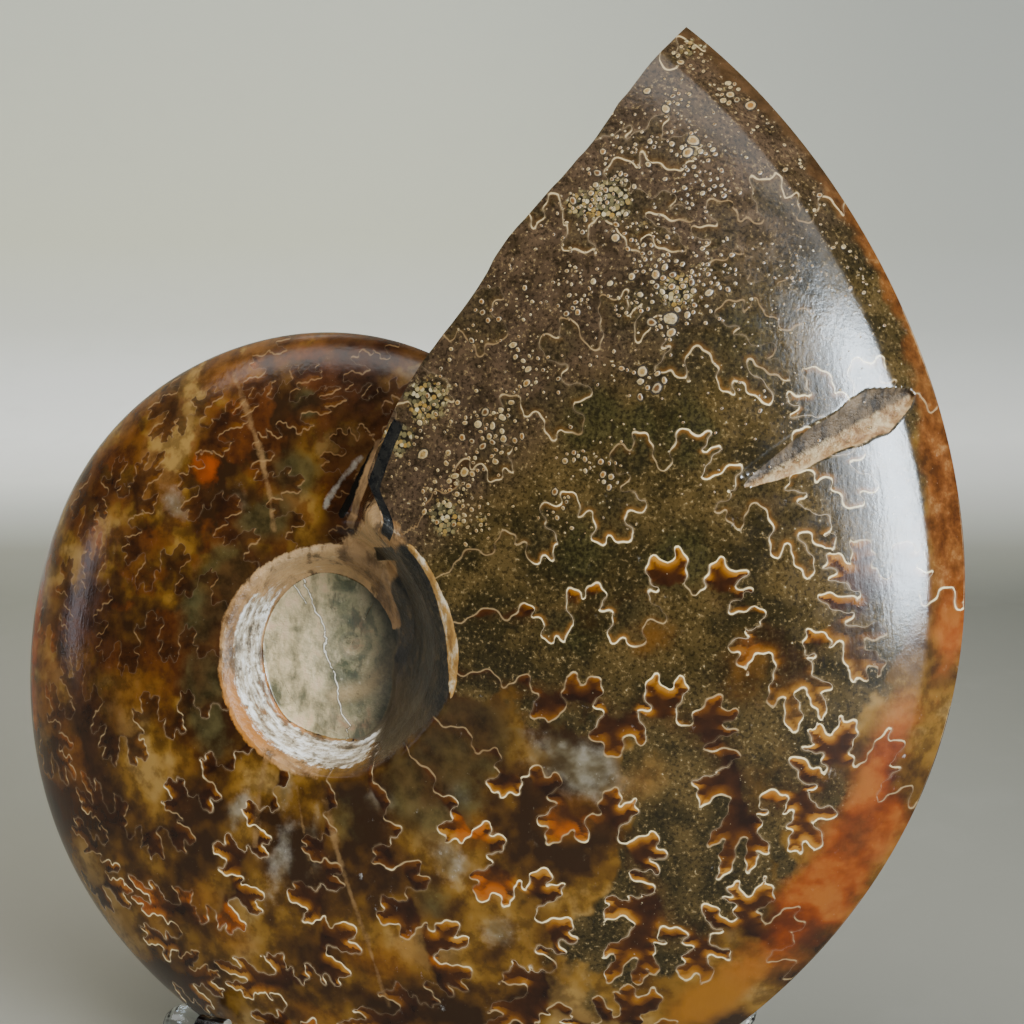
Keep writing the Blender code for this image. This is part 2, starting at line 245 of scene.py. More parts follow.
# ---- Heights over the sawn plane ----
def disc_height(distance):
    """The worn disc, a little deeper in its middle."""
    hollow = DISC_HOLLOW * np.exp(-(distance / .05) ** 2)
    return DISC_HEIGHT - hollow + 0.05 * np.maximum(distance - .1, 0)


def wall_places(turned):
    """Shares at the foot and top of the umbilicus wall."""
    turns, feet, tops = np.array(UMBILICUS_WALL).T
    return np.interp(turned, turns, feet), np.interp(turned, turns, tops)


def wall_rise(turned, share):
    """0 at the foot of the umbilicus wall, easing to 1 at its top."""
    foot, top = wall_places(turned)
    return ease((share - foot) / (top - foot))


def whorl_height(turn, share, turned):
    """Height of a whorl that rises out of the umbilicus."""
    floor = disc_height(share * radius_at(turn))
    return floor + (flank_height(share, turn) * radius_at(turn) - floor) * wall_rise(turned, share)


def fillet(turned, share):
    """How far the foot of the mouth cut is filled, on the whorl inside."""
    end = between(share, FILLET_ENDS)
    cut = MOUTH_TURN - 360 + cut_swing(MOUTH_TURN - 360, share)
    lower_outside = 1 - 0.25 * ease((share - SEAM * WHORL_RATIO) / 0.08)
    filled = ease((end - turned) / (end - cut)) * lower_outside * ease((.78 - share) / .14)
    return filled * (turned < FILLET_ENDS[0][1])


def waves(turn, share, size, seed):
    """A few crossed waves, for the slight unevenness of worn surfaces."""
    wave = np.random.default_rng(seed)
    total = 0.0
    for _ in range(6):
        rate, lean, phase = wave.uniform(0.5, 1.0), wave.uniform(-1, 1), wave.uniform(0, 2 * pi)
        total = total + np.sin(turn / 360 * 2 * pi * 9 * rate + share * 60 * lean + phase)
    return total / 6 * size


def outer_height(turn, share, turned):
    """The last whorl."""
    height = whorl_height(turn, share, turned)
    _, top = wall_places(turned)
    on_wall = ease((share / top - .55) / .2) * ease((1.25 - share / top) / .3)
    height = height + waves(turn, share, 0.0030, 3) * on_wall
    past_cut = whorl_height(turn + 360, share / WHORL_RATIO, turned + 360)
    height = height + np.maximum(past_cut - height, 0) * fillet(turned, share)
    depth, _ = groove_shape(turn, share)
    return height - GROOVE_DEPTH * np.minimum(depth * 1.6, 1) ** 0.9


def inner_height(turn, share, turned):
    """The bottom of the umbilicus: the disc, the last whorl's wall, and the inner whorl's ledge."""
    radius = radius_at(turn)
    wall = whorl_height(turn + 360, share / WHORL_RATIO, turned + 360)
    emerging = ease((turned - LEDGE_TURNS[0]) / (LEDGE_TURNS[1] - LEDGE_TURNS[0]))
    floor = disc_height(share * radius)
    ledge = floor + (flank_height(share, turn) * radius - floor) * wall_rise(64.0, share) * emerging
    across = np.clip((share - SEAM) / (SEAM * WHORL_RATIO - SEAM), 0, 1)
    coil = 0.010 * radius * np.sin(pi * across) ** 2
    return np.maximum(np.maximum(wall, ledge), floor + coil)


def shell_points(turn, share, height_at):
    """Points of a surface in metres, and their turns once the saw cut has bent the mesh."""
    turned = turn + mouth_bend(turn, share)
    distance = share * radius_at(turned)
    angle = np.radians(turned)
    height = height_at(turn, share, turned)
    points = np.stack((distance * np.cos(angle), -height, distance * np.sin(angle)), -1)
    return points * UNIT, turned


# ---- Septa: how far each point of the flank is from the nearest one, and past how many ----
def smooth_curve(points, steps=6):
    """A Catmull-Rom curve through the points."""
    ends = np.vstack((2 * points[0] - points[1], points, 2 * points[-1] - points[-2]))
    before, here, after, beyond = ends[:-3], ends[1:-2], ends[2:-1], ends[3:]
    rows = []
    for t in np.arange(steps) / steps:
        rows.append(0.5 * (2 * here + (after - before) * t
                           + (2 * before - 5 * here + 4 * after - beyond) * t ** 2
                           + (3 * here - before - 3 * after + beyond) * t ** 3))
    curve = np.stack(rows, 1).reshape(-1, 2)
    return np.vstack((curve, points[-1]))


def notched(curve, swing):
    """The curve with the small notches that edge its lobes."""
    x, y = conformal(*curve.T)
    across_x, across_y = np.gradient(x), np.gradient(y)
    length = np.hypot(across_x, across_y)
    size = curve[:, 1] * SHELL_RADIUS * MM          # as at the mouth
    along = np.cumsum(length * size)
    course = 2 * pi * along / NOTCH_SPACING + 1.6 * np.sin(along / 2.7 + swing)
    wave = NOTCH_DEPTH / size * np.sin(course)
    wave = wave * ease((1 - curve[:, 1]) / .03) * ease((curve[:, 1] - .236) / .02)
    x, y = x - wave * across_y / length, y + wave * across_x / length
    return np.stack((np.degrees(x), np.exp(y - GROWTH * x)), -1)


def septum_curves():
    """(turn, share) curves of all septa, each a little different from the last."""
    drawn = np.array(SEPTUM)
    spacings = np.gradient(np.array(SEPTUM_TURNS, float))
    curves = []
    for place, spacing in zip(SEPTUM_TURNS, spacings):
        varied = drawn.copy()
        jitter = RANDOM.normal(0, 1, drawn.shape) * (0.20, 0.0015)
        slow = np.sin(drawn[:, 1] * RANDOM.uniform(14, 22) + RANDOM.uniform(0, 6)) * 0.5
        varied[:, 0] = place + (drawn[:, 0] + jitter[:, 0] + slow) * spacing / SEPTUM_WIDTH
        varied[:, 1] += jitter[:, 1]
        curves.append(notched(smooth_curve(varied), RANDOM.uniform(0, 6)))
    return curves


def growth_field(turn, share):
    """Chambers counted along the middle lines of the septa."""
    places = np.array(SEPTUM_TURNS, float)
    return np.interp(turn - between(share, SEPTUM_MIDDLE), np.append(places, places[-1] + 18),
                     np.arange(len(places) + 1))


def conformal(turn, share):
    """Coordinates in which the shell's shapes keep their angles, times their radius."""
    return np.radians(turn), np.log(np.maximum(share, 1e-3)) + GROWTH * np.radians(turn)


def is_past(curve, turn, share):
    """Whether each point of a grid lies past the curve, folds and all."""
    start, end = curve[:-1], curve[1:]
    past = np.zeros(turn.shape, bool)
    for column, level in enumerate(share[0]):
        crosses = (start[:, 1] <= level) != (end[:, 1] <= level)
        mix = (level - start[crosses, 1]) / (end[crosses, 1] - start[crosses, 1])
        at = start[crosses, 0] + mix * (end[crosses, 0] - start[crosses, 0])
        passed = (turn[:, column, None] > at[None, :]).sum(1) % 2 == 1
        past[:, column] = passed if len(at) else turn[:, column] > curve[0, 0]
    return past


def nearest_on(curve, px, py):
    """Distance to the curve, and the two parts of the way from it, in conformal coordinates."""
    cx, cy = conformal(*curve.T)
    tree = KDTree(len(cx))
    for index, spot in enumerate(zip(cx, cy)):
        tree.insert((*spot, 0), index)
    tree.balance()
    nearest = np.array([tree.find((a, b, 0))[1] for a, b in zip(px, py)], int)
    best, away_x, away_y = np.full(len(px), FAR_AWAY), np.zeros(len(px)), np.zeros(len(px))
    for shift in (-1, 0):
        low = np.clip(nearest + shift, 0, len(cx) - 2)
        ex, ey = cx[low + 1] - cx[low], cy[low + 1] - cy[low]
        along = ((px - cx[low]) * ex + (py - cy[low]) * ey) / (ex ** 2 + ey ** 2 + 1e-18)
        t = np.clip(along, 0, 1)
        dx, dy = px - cx[low] - t * ex, py - cy[low] - t * ey
        closer = np.hypot(dx, dy) < best
        best = np.where(closer, np.hypot(dx, dy), best)
        away_x, away_y = np.where(closer, dx, away_x), np.where(closer, dy, away_y)
    return best, away_x, away_y


def septum_fields(turn, share, curves):
    """phase: septa passed, stepping by one across each line. gap: millimetres to the nearest line.
    under: 1 where the nearest line is a frill's lower edge, -1 where it is an upper edge. growth:
    chambers passed, by the septa's middle lines."""
    phase, under = np.zeros(turn.shape), np.zeros(turn.shape)
    gap = np.full(turn.shape, FARTHEST_GAP)
    growth = growth_field(turn, share)
    x, y = conformal(turn, share)
    scale = share * radius_at(turn) * UNIT
    for number, curve in enumerate(curves):
        past = is_past(curve, turn, share)
        near = (turn > curve[:, 0].min() - 5) & (turn < curve[:, 0].max() + 5)
        distance = np.full(turn.shape, FAR_AWAY)
        if near.any():
            best, away_x, away_y = nearest_on(curve, x[near], y[near])
            distance[near] = best * scale[near]
            # The line's outward side, seen from inside the frill, against straight down.
            side = np.where(past[near], 1, -1) * np.clip((growth[near] - number - 1) / .06, -1, 1)
            angle = np.radians(turn[near])
            upward = (away_x * np.cos(angle) + away_y * np.sin(angle)) / np.maximum(best, 1e-9)
            edge = 1 - ease((distance[near] * MM - .25) / 1.1)
            nearest_line = gap[near] > distance[near] * MM
            under[near] = np.where(nearest_line, -upward * side * edge, under[near])
        phase += np.clip(np.where(past, distance, -distance) / LINE_BAND, -0.5, 0.5) + 0.5
        gap = np.minimum(gap, distance * MM)
    return {"phase": phase, "gap": gap, "under": under, "growth": growth}


# ---- What fills the fossil, and where ----
# Soft patches: (turn, share, size in turn, size in share, strength).
PATCHES = {
    "milky": [(344.5, .50, 4.5, .09, 1.), (320.5, .368, 4, .03, .9), (309, .454, 4, .04, .8),
              (309, .61, 3, .03, .7), (145.5, .632, 3, .05, .7), (244, .422, 3, .045, .9),
              (257, .32, 3, .05, .7), (261, .47, 3.5, .09, .55), (298, .302, 5, .03, .7),
              (271, .42, 2.5, .08, .6), (128, .52, 3, .06, .5)],
    "amber": [(334, .536, 4, .035, 1.), (318, .426, 4, .035, 1.), (313, .528, 4, .035, 1.),
              (288, .62, 10, .06, .7), (133.4, .662, 3, .035, 1.), (118, .906, 8, .04, .7),
              (250, .68, 9, .05, .9), (235, .80, 8, .05, .7), (268, .80, 9, .05, .6),
              (205, .80, 9, .05, .6), (186, .90, 14, .05, .8), (160, .80, 7, .05, .6),
              (364, .70, 6, .05, .6), (346, .60, 6, .04, .6), (350, .78, 7, .05, .4),
              (369, .555, 4, .05, .6), (372, .46, 3, .03, .5)],
    "ochre": [(346, .945, 8, .045, 1.), (338, .94, 8, .05, 1.), (355, .935, 6, .035, .7),
              (324, .93, 7, .045, .8), (184, .965, 16, .022, .8), (374, .985, 12, .022, .9)],
    "olive": [(103, .77, 3.5, .04, 1.), (300, .51, 5, .04, .6), (357, .428, 6, .04, .8),
              (315.5, .32, 14, .09, 1.), (338, .30, 14, .08, 1.), (281, .33, 8, .05, .6),
              (108, .55, 8, .07, .9), (205, .36, 22, .06, .9), (160, .38, 24, .07, 1.),
              (124, .44, 12, .07, .9)],
    "ember": [(133.2, .662, 4.0, .042, 1.2), (121, .80, 2.5, .03, .6), (96, .62, 3, .03, .4)],
    "moss": [(403, .556, 4, .05, 1.), (398, .60, 4, .04, .9), (394.5, .674, 4, .04, .9),
             (379.5, .608, 4, .05, .9), (386, .47, 6, .06, .7), (371, .44, 5, .05, .6),
             (400, .80, 6, .07, .5), (410, .70, 5, .06, .5)],
}
# Pale veins and scars: (width in shares of the shell radius, strength, points of turn, share).
VEINS = [
    (.013, .8, ((119, .92), (117.8, .80), (117.0, .66), (117.6, .59), (119, .50), (123, .40))),
    (.016, .8, ((244, .29), (247, .34), (251, .42), (253, .47))),
    (.012, .8, ((276, .31), (279, .42), (283, .58), (284, .72))),
    (.007, .5, ((262, .30), (268, .40), (272, .50))),
]
# Where the mud starts, as (share, turn), and ends, and where the rim starts, as (turn, share).
MUD_START = ((.2, 354), (.55, 350), (.62, 340), (.70, 314), (.8, 312), (1, 326))
MUD_EDGE = ((318, .85), (345, .875), (374, .915), (386, .97), (394, 1.05), (404, 1.12))
RIM_START = ((373, .945), (380, .952), (387, .966), (394, .984), (404, .985), (412, .982), (425, .97))
# Crumbly crusts and clusters of round specks on the sawn plane, in shell radii:
# (across, up, spread, crust, specks, size of a speck in millimetres).
CLUSTERS = [
    (.448, .887, .030, .5, 42, .19), (.508, .829, .022, .3, 24, .26), (.479, .869, .020, .3, 14, .17),
    (.447, .811, .022, .0, 12, .26), (.415, .728, .024, .3, 20, .20), (.485, .733, .022, .5, 30, .22),
    (.383, .659, .034, 1., 50, .21), (.347, .650, .024, .9, 26, .18), (.486, .671, .016, .0, 9, .25),
    (.515, .685, .014, .0, 9, .25), (.553, .787, .018, .0, 8, .16), (.604, .733, .020, .0, 10, .17),
    (.485, .542, .034, .8, 70, .24), (.515, .575, .024, .5, 26, .20), (.448, .576, .026, .3, 26, .20),
    (.475, .490, .016, .4, 18, .24), (.471, .420, .013, .0, 9, .34), (.722, .570, .018, .3, 14, .16),
    (.691, .623, .014, .0, 7, .17), (.641, .673, .016, .0, 8, .17), (.635, .582, .030, .0, 12, .16),
    (.159, .373, .036, 1., 60, .19), (.123, .315, .026, 1., 30, .18), (.242, .550, .018, .0, 8, .22),
    (.225, .496, .018, .2, 12, .22), (.198, .457, .018, .0, 10, .22), (.248, .334, .030, .3, 60, .27),
    (.206, .269, .028, .4, 50, .24), (.194, .215, .030, .9, 40, .19), (.240, .216, .022, .4, 18, .20),
    (.290, .446, .020, .0, 16, .24), (.357, .517, .016, .0, 18, .22), (.352, .560, .018, .0, 14, .22),
    (.288, .396, .016, .0, 10, .25), (.389, .311, .018, .0, 14, .24), (.413, .284, .010, .0, 5, .30),
    (.459, .421, .014, .0, 12, .30), (.348, .248, .012, .0, 7, .22), (.421, .525, .018, .2, 14, .20),
    (.430, .620, .026, .4, 26, .19), (.370, .720, .028, .3, 20, .17), (.320, .420, .020, .0, 12, .22),
    (.450, .760, .030, .2, 20, .17), (.300, .510, .030, .0, 14, .18), (.400, .440, .022, .0, 8, .22),
]


def patch_field(name, turn, share):
    """Strength of the nearest of the soft patches of that name."""
    total = 0.0
    for at_turn, at_share, turn_size, share_size, strength in PATCHES[name]:
        distance = ((turn - at_turn) / turn_size) ** 2 + ((share - at_share) / share_size) ** 2
        total = np.maximum(total, strength * np.exp(-distance * 0.7))
    return total


def nearness(x, z, spots, width):
    """1 on a line through the spots, falling off with that width."""
    total = np.zeros(x.shape)
    for (x0, z0), (x1, z1) in zip(spots, spots[1:]):
        length = (x1 - x0) ** 2 + (z1 - z0) ** 2
        t = np.clip(((x - x0) * (x1 - x0) + (z - z0) * (z1 - z0)) / length, 0, 1)
        away = np.hypot(x - x0 - t * (x1 - x0), z - z0 - t * (z1 - z0))
        total = np.maximum(total, np.exp(-(away / width) ** 2))
    return total


def vein_field(turn, x, z):
    """Strength of the veins, which swell and thin along their course."""
    total = np.zeros(turn.shape)
    for width, strength, course in VEINS:
        spots = [plane_point(*point) for point in course]
        swell = width / 2 * (.45 + 1.1 * clouds(x, z, .04, 3, seed=61))
        line = strength * nearness(x, z, spots, swell)
        total = np.maximum(total, np.where(np.abs(turn - course[0][0]) < 40, line, 0))
    return total


def crust_field(x, z):
    """Strength of the crumbly crusts."""
    total = np.zeros(x.shape)
    for across, up, spread, crust, *_ in CLUSTERS:
        away = ((x - across) ** 2 + (z - up) ** 2) / (spread * .9) ** 2
        total = np.maximum(total, crust * np.exp(-away))
    return total


def region_fields(turn, share):
    """Soft masks, 0 to 1, for where the fossil's different fillings lie."""
    x, z = plane_point(turn, share)
    growth = growth_field(turn, share)
    mud = np.minimum((turn - between(share, MUD_START)) / 13, (between(turn, MUD_EDGE) - share) / .075)
    mud = mud + .5 + (clouds(x, z, .06, 4, .6, seed=31) - .5) * 1.2
    half_bare = 1 - .5 * ease((share - .66) / .04) * ease((14.3 - growth) / .2)
    # Dark places: below the mouth, round the umbilicus, and two clouds on the flank.
    dark = (0.85 * ease((108 - turn) / 16) + 0.75 * ease((.43 - share) / .06) * ease((250 - turn) / 60)
            + 0.6 * ease((.40 - share) / .07) * ease((turn - 285) / 20)
            + 0.5 * np.exp(-((turn - 308) / 16) ** 2 - ((share - .43) / .09) ** 2)
            + 0.6 * np.exp(-((turn - 200) / 45) ** 2 - ((share - .68) / .10) ** 2)
            + (clouds(x, z, .10, 4, .6, seed=37) - .55) * .8)
    edge = (share - between(turn, RIM_START)) / .012
    rim = ease(edge + (clouds(x, z, .03, 3, seed=43) - .5) * 1.4) * ease((turn - 366) / 8)
    bright = ease((clouds(x, z, .10, 3, .6, seed=51) - .30) / .26) * .72 + .28
    bright = bright * (.10 + .90 * ease((turn - 190) / 55)) * (1 - .55 * ease((turn - 390) / 12))
    bright = bright * (1 - .8 * ease((.40 - share) / .07) * ease((turn - 296) / 20))
    groove, side = groove_shape(turn, share)
    return {
        "mud": ease((mud - .14) / .68), "bare_saddle": ease((growth - 14.75) / .2),
        "bare_lobe": ease((growth - 13.1) / .2) * half_bare,
        "dark": ease((dark - .1) / .7), "rim": rim, "bright": bright,
        "tone": clouds(x, z, .10, 4, .6, seed=1), "blotch": clouds(x, z, .055, 5, .62, seed=23),
        "far": ease((turn - 398) / 14), "crust": crust_field(x, z), "groove": groove * 4,
        "groove_side": side, "vein": vein_field(turn, x, z),
        "wobble": (clouds(x, z, .045, 4, .6, seed=2) - .5) * .18,
        **{name: patch_field(name, turn, share) for name in PATCHES},
        **wall_fields(turn, share, x, z),
    }


# Marks where the mouth cut meets the whorl inside: a tan ridge, a dark gap and a pale streak, as
# (name, width, places on the sawn plane). Then the tip of the inner whorl's ledge.
JUNCTION = (("ridge", .009, ((.017, .185), (.026, .235), (.036, .275), (.043, .300))),
            ("gap_mark", .007, ((-.002, .196), (.011, .225), (.023, .259), (.037, .293))),
            ("streak", .006, ((-.030, .205), (-.017, .233), (.003, .261), (.016, .279))))
LEDGE = ((.015, .135), (.048, .108), (.063, .058), (.070, .032))


def wall_fields(turn, share, x, z):
    """Masks of the umbilicus wall, the marks at the foot of the mouth cut, and the disc."""
    foot, top = wall_places(turn)
    rise = (share - foot) / (top - foot)
    below_top = ease((1.10 - share / top) / .12)
    on_wall = ease(rise / .12 + .3) * below_top
    web = np.where(turn < 110, fillet(turn, share), 0) * ease((share - SEAM) / .015)
    ring = on_wall * np.clip(ease((286 - turn) / 34) + ease((turn - 404) / 12), 0, 1)
    # Painted sheen: the silver of the wall is brightest at two places along it.
    shine = np.maximum(np.exp(-((turn - 184) / 24) ** 2), np.exp(-((turn - 268) / 24) ** 2))
    silver_and_sheen = (ease((turn - 130) / 40) * ease((324 - turn) / 50)
              * ease((.80 - rise) / .2) * ease((rise - .06) / .1) * (.66 + .38 * shine))
    fading = between(turn, ((290, .8), (345, .1)))
    shade = ease((turn - 284) / 30) * ease((418 - turn) / 10) * ease((1.02 - rise) / fading) * on_wall
    lip_foot = between(turn, ((345, 1.02), (354, .93), (364, .88), (380, .88), (396, .93)))
    lip = (ease((turn - 342) / 12) * ease((414 - turn) / 8)
           * ease((share / top - 1.03) / -.03) * ease((rise - lip_foot) / .05))
    ledge = ease((turn - 372) / 20) * ease((.12 - rise) / .1) * ease((share - .078) / .006)
    ledge = np.maximum(ledge, nearness(x, z, LEDGE, .004 + .024 * ease((z - .03) / .09)))
    # The dark strip along the cut, in millimetres from it.
    from_cut = (MOUTH_TURN + cut_swing(turn, share) - turn) * pi / 180 * share * SHELL_RADIUS * MM
    strip = (ease((1.5 - from_cut) / .25) * ease((share - .20) / .02) * ease((.37 - share) / .04)
             * (turn > 405) * (1 - ease((.28 - from_cut) / .15) * .8))
    # A dark mark under the foot of the cut, in coordinates along and across it.
    x_box, z_box = (x - .085) * .98 + (z - .149) * .2, (z - .149) * .98 - (x - .085) * .2
    mark = ease((1 - np.maximum(np.abs(x_box) / .036, np.abs(z_box) / .011)) / .15)
    # The disc: shade on its right, a pale band below, sun on its left, and the swirl of its coil.
    middle = np.hypot(x, z)
    dusk = np.maximum(ease((x * .85 + z * .5 - .035) / .055), .6 * ease((x - .02) / .045))
    band = nearness(x, z, ((-.02, -.082), (.03, -.066), (.062, -.034), (.078, .0)), .014)
    swirl = .5 + .5 * np.sin(np.radians(turn) - np.log(np.maximum(middle, .01)) / GROWTH * .9)
    return {
        "wall": np.clip(np.maximum(ring, web), 0, 1), "silver_and_sheen": silver_and_sheen,
        "shade": np.maximum(shade, mark), "lip": lip, "ledge": ledge, "strip": strip,
        "disc": ease(.5 - rise * 4) * below_top * (1 - web), "dusk": dusk, "band": band,
        "sunny": ease((.07 - x - z * .1) / .16), "swirl": swirl, "middle": middle,
        "rise": np.clip(rise, -1, 1.2), "course": turn, "crack": crack_field(x, z),
        **{name: (turn < 110) * nearness(x, z, course, width) for name, width, course in JUNCTION},
    }


# Courses of the cracks on the sawn plane.
CRACKS = (
    ((-.095, .102), (-.078, .088), (-.066, .062), (-.050, .030), (-.040, .006), (-.034, -.024),
     (-.022, -.050), (-.012, -.082), (-.004, -.106), (.010, -.121), (.006, -.150)),
    ((-.098, .086), (-.084, .066), (-.076, .056)),
    ((.180, -.055), (.190, -.046), (.203, -.036), (.212, -.022), (.220, -.015)),
)


def crack_field(x, z):
    """The pale jagged crack across the disc, and short ones beside it."""
    jagged = (clouds(x, z, .016, 3, seed=71) - .5) * .014
    return np.maximum.reduce([nearness(x + jagged, z - jagged, course, .0013) for course in CRACKS])


# ---- Meshes ----
MAP_MARGIN = 0.002              # left bare round the texture map of a sheet
MAP_SPAN = 2.1                  # shell radii across the square, where the map is the sawn plane


def plane_map(x, z):
    """Texture coordinates that show the piece as seen from the front."""
    return np.stack((x, z), -1) / MAP_SPAN + .5


def add_piece(name, points, faces, fields, surface, unwrapped):
    """A sheet of the fossil, with its fields as attributes, and a texture map for each point."""
    placed = points.reshape(-1, 3) @ np.array(FOSSIL_PLACE.to_3x3()).T + np.array(POLE)
    mesh = bpy.data.meshes.new(name)
    mesh.from_pydata(placed.tolist(), [], faces.tolist())
    mesh.update()
    for field, values in fields.items():
        attribute = mesh.attributes.new(field, "FLOAT", "POINT")
        attribute.data.foreach_set("value", np.ascontiguousarray(values, np.float32).ravel())
    corners = np.empty(len(mesh.loops), int)
    mesh.loops.foreach_get("vertex_index", corners)
    layer = mesh.uv_layers.new(name="OFBake")
    layer.data.foreach_set("uv", unwrapped.reshape(-1, 2)[corners].astype(np.float32).ravel())
    mesh.shade_smooth()
    mesh.materials.append(surface)
    thing = bpy.data.objects.new(name, mesh)
    bpy.context.scene.collection.objects.link(thing)
    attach(thing, "root")
    return thing


def grid_faces(rows, columns):
    """Quads of a grid of points, rows by columns, wound to face the polished side."""
    index = np.arange(rows * columns).reshape(rows, columns)
    quads = np.stack((index[:-1, :-1], index[1:, :-1], index[1:, 1:], index[:-1, 1:]), -1)
    return quads.reshape(-1, 4)


def unit_square(rows, columns):
    """Texture coordinates that fill the square, row by row."""
    ends = MAP_MARGIN, 1 - MAP_MARGIN
    return np.stack(np.meshgrid(np.linspace(*ends, rows), np.linspace(*ends, columns),
                                indexing="ij"), -1)


# Columns of the flank's mesh, closer together on the wall and at the outer edge.
SHARES = np.concatenate((np.linspace(SEAM, .29, 18)[:-1], np.linspace(.29, .96, 176)[:-1],
                         np.linspace(.96, 1, 18)))
# Stretches of the last whorl: (name, first turn, last turn, rows of the mesh).
SECTORS = (("flank_early", MOUTH_TURN - 360, MOUTH_TURN - 180, 470),
           ("flank_middle", MOUTH_TURN - 180, MOUTH_TURN - 90, 350),
           ("flank_late", MOUTH_TURN - 90, MOUTH_TURN, 430))
# Points of the other meshes, rows and columns.
UMBILICUS_GRID, CAP_RINGS, CUT_ROWS, BACK_GRID = (471, 71), 28, 61, (641, 131)


def flank_sector(name, first, last, rows, curves, surface):
    """A stretch of the last whorl's polished flank."""
    turn, share = np.meshgrid(np.linspace(first, last, rows + 1), SHARES, indexing="ij")
    points, turned = shell_points(turn, share, outer_height)
    fields = {**septum_fields(turned, share, curves), **region_fields(turned, share)}
    return add_piece(name, points, grid_faces(*turn.shape), fields, surface, unit_square(*turn.shape))


def umbilicus_piece(surface):
    """The bottom of the umbilicus: one whorl of grid, and a cap in the middle of it."""
    rows, columns = UMBILICUS_GRID
    turns = np.linspace(MOUTH_TURN - 720, MOUTH_TURN - 360, rows)
    turn, share = np.meshgrid(turns, np.linspace(SEAM, SEAM * WHORL_RATIO, columns), indexing="ij")
    points, turned = shell_points(turn, share, inner_height)

    # The cap: rings that shrink from the innermost seam to the middle of the coil.
    rings = np.linspace(1, 0.02, CAP_RINGS)
    distance = np.hypot(points[:, 0, 0], points[:, 0, 2])[:, None] * rings / UNIT
    angle = np.radians(turned[:, :1]) + 0 * rings
    edge_height = -points[:, :1, 1] / UNIT
    height = disc_height(distance) + (edge_height - disc_height(distance[:, :1])) * rings ** 8
    cap = np.stack((distance * np.cos(angle), -height, distance * np.sin(angle)), -1) * UNIT

    points = np.concatenate((points.reshape(-1, 3), cap.reshape(-1, 3)))
    last_turn = np.concatenate((turned.ravel(), np.degrees(angle).ravel())) + 360
    x, z = points[:, 0] / UNIT, points[:, 2] / UNIT
    faces = np.concatenate((grid_faces(*turn.shape), grid_faces(*angle.shape)[:, ::-1] + turn.size))
    fields = wall_fields(last_turn, np.hypot(x, z) / radius_at(last_turn), x, z)
    reach = np.hypot(x, z).max()
    return add_piece("umbilicus", points, faces, fields, surface, plane_map(x / reach, z / reach))


def mouth_piece(surface):
    """The saw cut across the mouth, down to the whorl inside and to the sawn back."""
    inner_share = np.linspace(SEAM / WHORL_RATIO, SEAM, 24)[:-1]
    inner_turn = np.full(inner_share.shape, MOUTH_TURN - 360)
    inner_top, _ = shell_points(inner_turn, inner_share * WHORL_RATIO, inner_height)
    outer_top, _ = shell_points(np.full(SHARES.shape, MOUTH_TURN), SHARES, outer_height)
    top, share = np.concatenate((inner_top, outer_top)), np.concatenate((inner_share, SHARES))
    foot_share = np.clip(share * WHORL_RATIO, SEAM, 1)
    foot, _ = shell_points(np.full(share.shape, MOUTH_TURN - 360), foot_share, outer_height)
    foot[:, 0], foot[:, 2] = top[:, 0], top[:, 2]
    foot[share * WHORL_RATIO > 1, 1] = 0
    down = np.linspace(0, 1, CUT_ROWS)
    points = top[:, None] + (foot - top)[:, None] * down[None, :, None]
    along = np.broadcast_to(share[:, None], points.shape[:2])
    height = -points[..., 1] / UNIT
    flank = -top[:, None, 1] / UNIT
    # Millimetres to the polished flank or the outer edge, whichever is nearer.
    skin = np.minimum(flank - height, 1 - along) * UNIT * MM
    fields = {"skin": np.clip(skin, 0, 20), "blotch": clouds(along, height, .05, 5, .62, seed=83)}
    return add_piece("mouth_cut", points, grid_faces(*along.shape), fields, surface,
                     unit_square(*along.shape))


def back_piece(surface):
    """The sawn plane of symmetry, which shows the chambers of every whorl."""
    rows, columns = BACK_GRID
    rings = np.exp(np.linspace(np.log(.006), 0, columns))
    turn, ring = np.meshgrid(np.linspace(MOUTH_TURN - 360, MOUTH_TURN, rows), rings, indexing="ij")
    points, turn = shell_points(turn, ring, lambda turn, share, turned: 0 * turn)
    distance = ring * radius_at(turn)
    x, z = points[..., 0] / UNIT, points[..., 2] / UNIT

    # Whorls counted inwards from the rim, and chambers counted along each whorl's septa.
    inwards = -np.log(ring) / np.log(WHORL_RATIO)
    whorl = np.floor(inwards)
    across = 1 - (inwards - whorl)
    whorl_turn = turn - 360 * whorl
    # How far a septum is bowed along the whorl, in turn.
    bowl = 13 * (2 * across - 1) ** 2 - 6 + 5 * (clouds(across, whorl_turn / 60, .35, 2, seed=89) - .5)
    places = np.concatenate((np.arange(-1100, 45, CHAMBER_TURN), SEPTUM_TURNS, (460,)))
    fields = {"chamber": np.interp(whorl_turn - bowl, places, np.arange(len(places))),
              "pitch": radians(CHAMBER_TURN) * distance * UNIT * MM, "inwards": inwards,
              "whorl_width": distance * np.log(WHORL_RATIO) * UNIT * MM,
              "whorl_turn": whorl_turn - bowl, "tone": clouds(x, z, .08, 4, .6, seed=91),
              "blotch": clouds(x, z, .045, 5, .62, seed=93)}
    return add_piece("sawn_back", points, grid_faces(*turn.shape)[:, ::-1], fields, surface,
                     plane_map(x, z))


SPECK_COUNT, SPECK_SPREAD, SPECK_SIZE = 1.5, .72, .64      # times those in CLUSTERS
LONE_SPECKS = 700
SPECK_CORNERS = 10
# Rings of a speck: (share of its radius, millimetres over the flank).
SPECK_RINGS = ((0, .050), (.5, .046), (.84, .030), (1.0, .004), (1.3, .006))


def last_turn_of(x, z):
    """Turn of a place of the sawn plane, as counted on the last whorl."""
    end = MOUTH_TURN + 3        # a little past the cut, which bends
    return end - (end - np.degrees(np.arctan2(z, x))) % 360


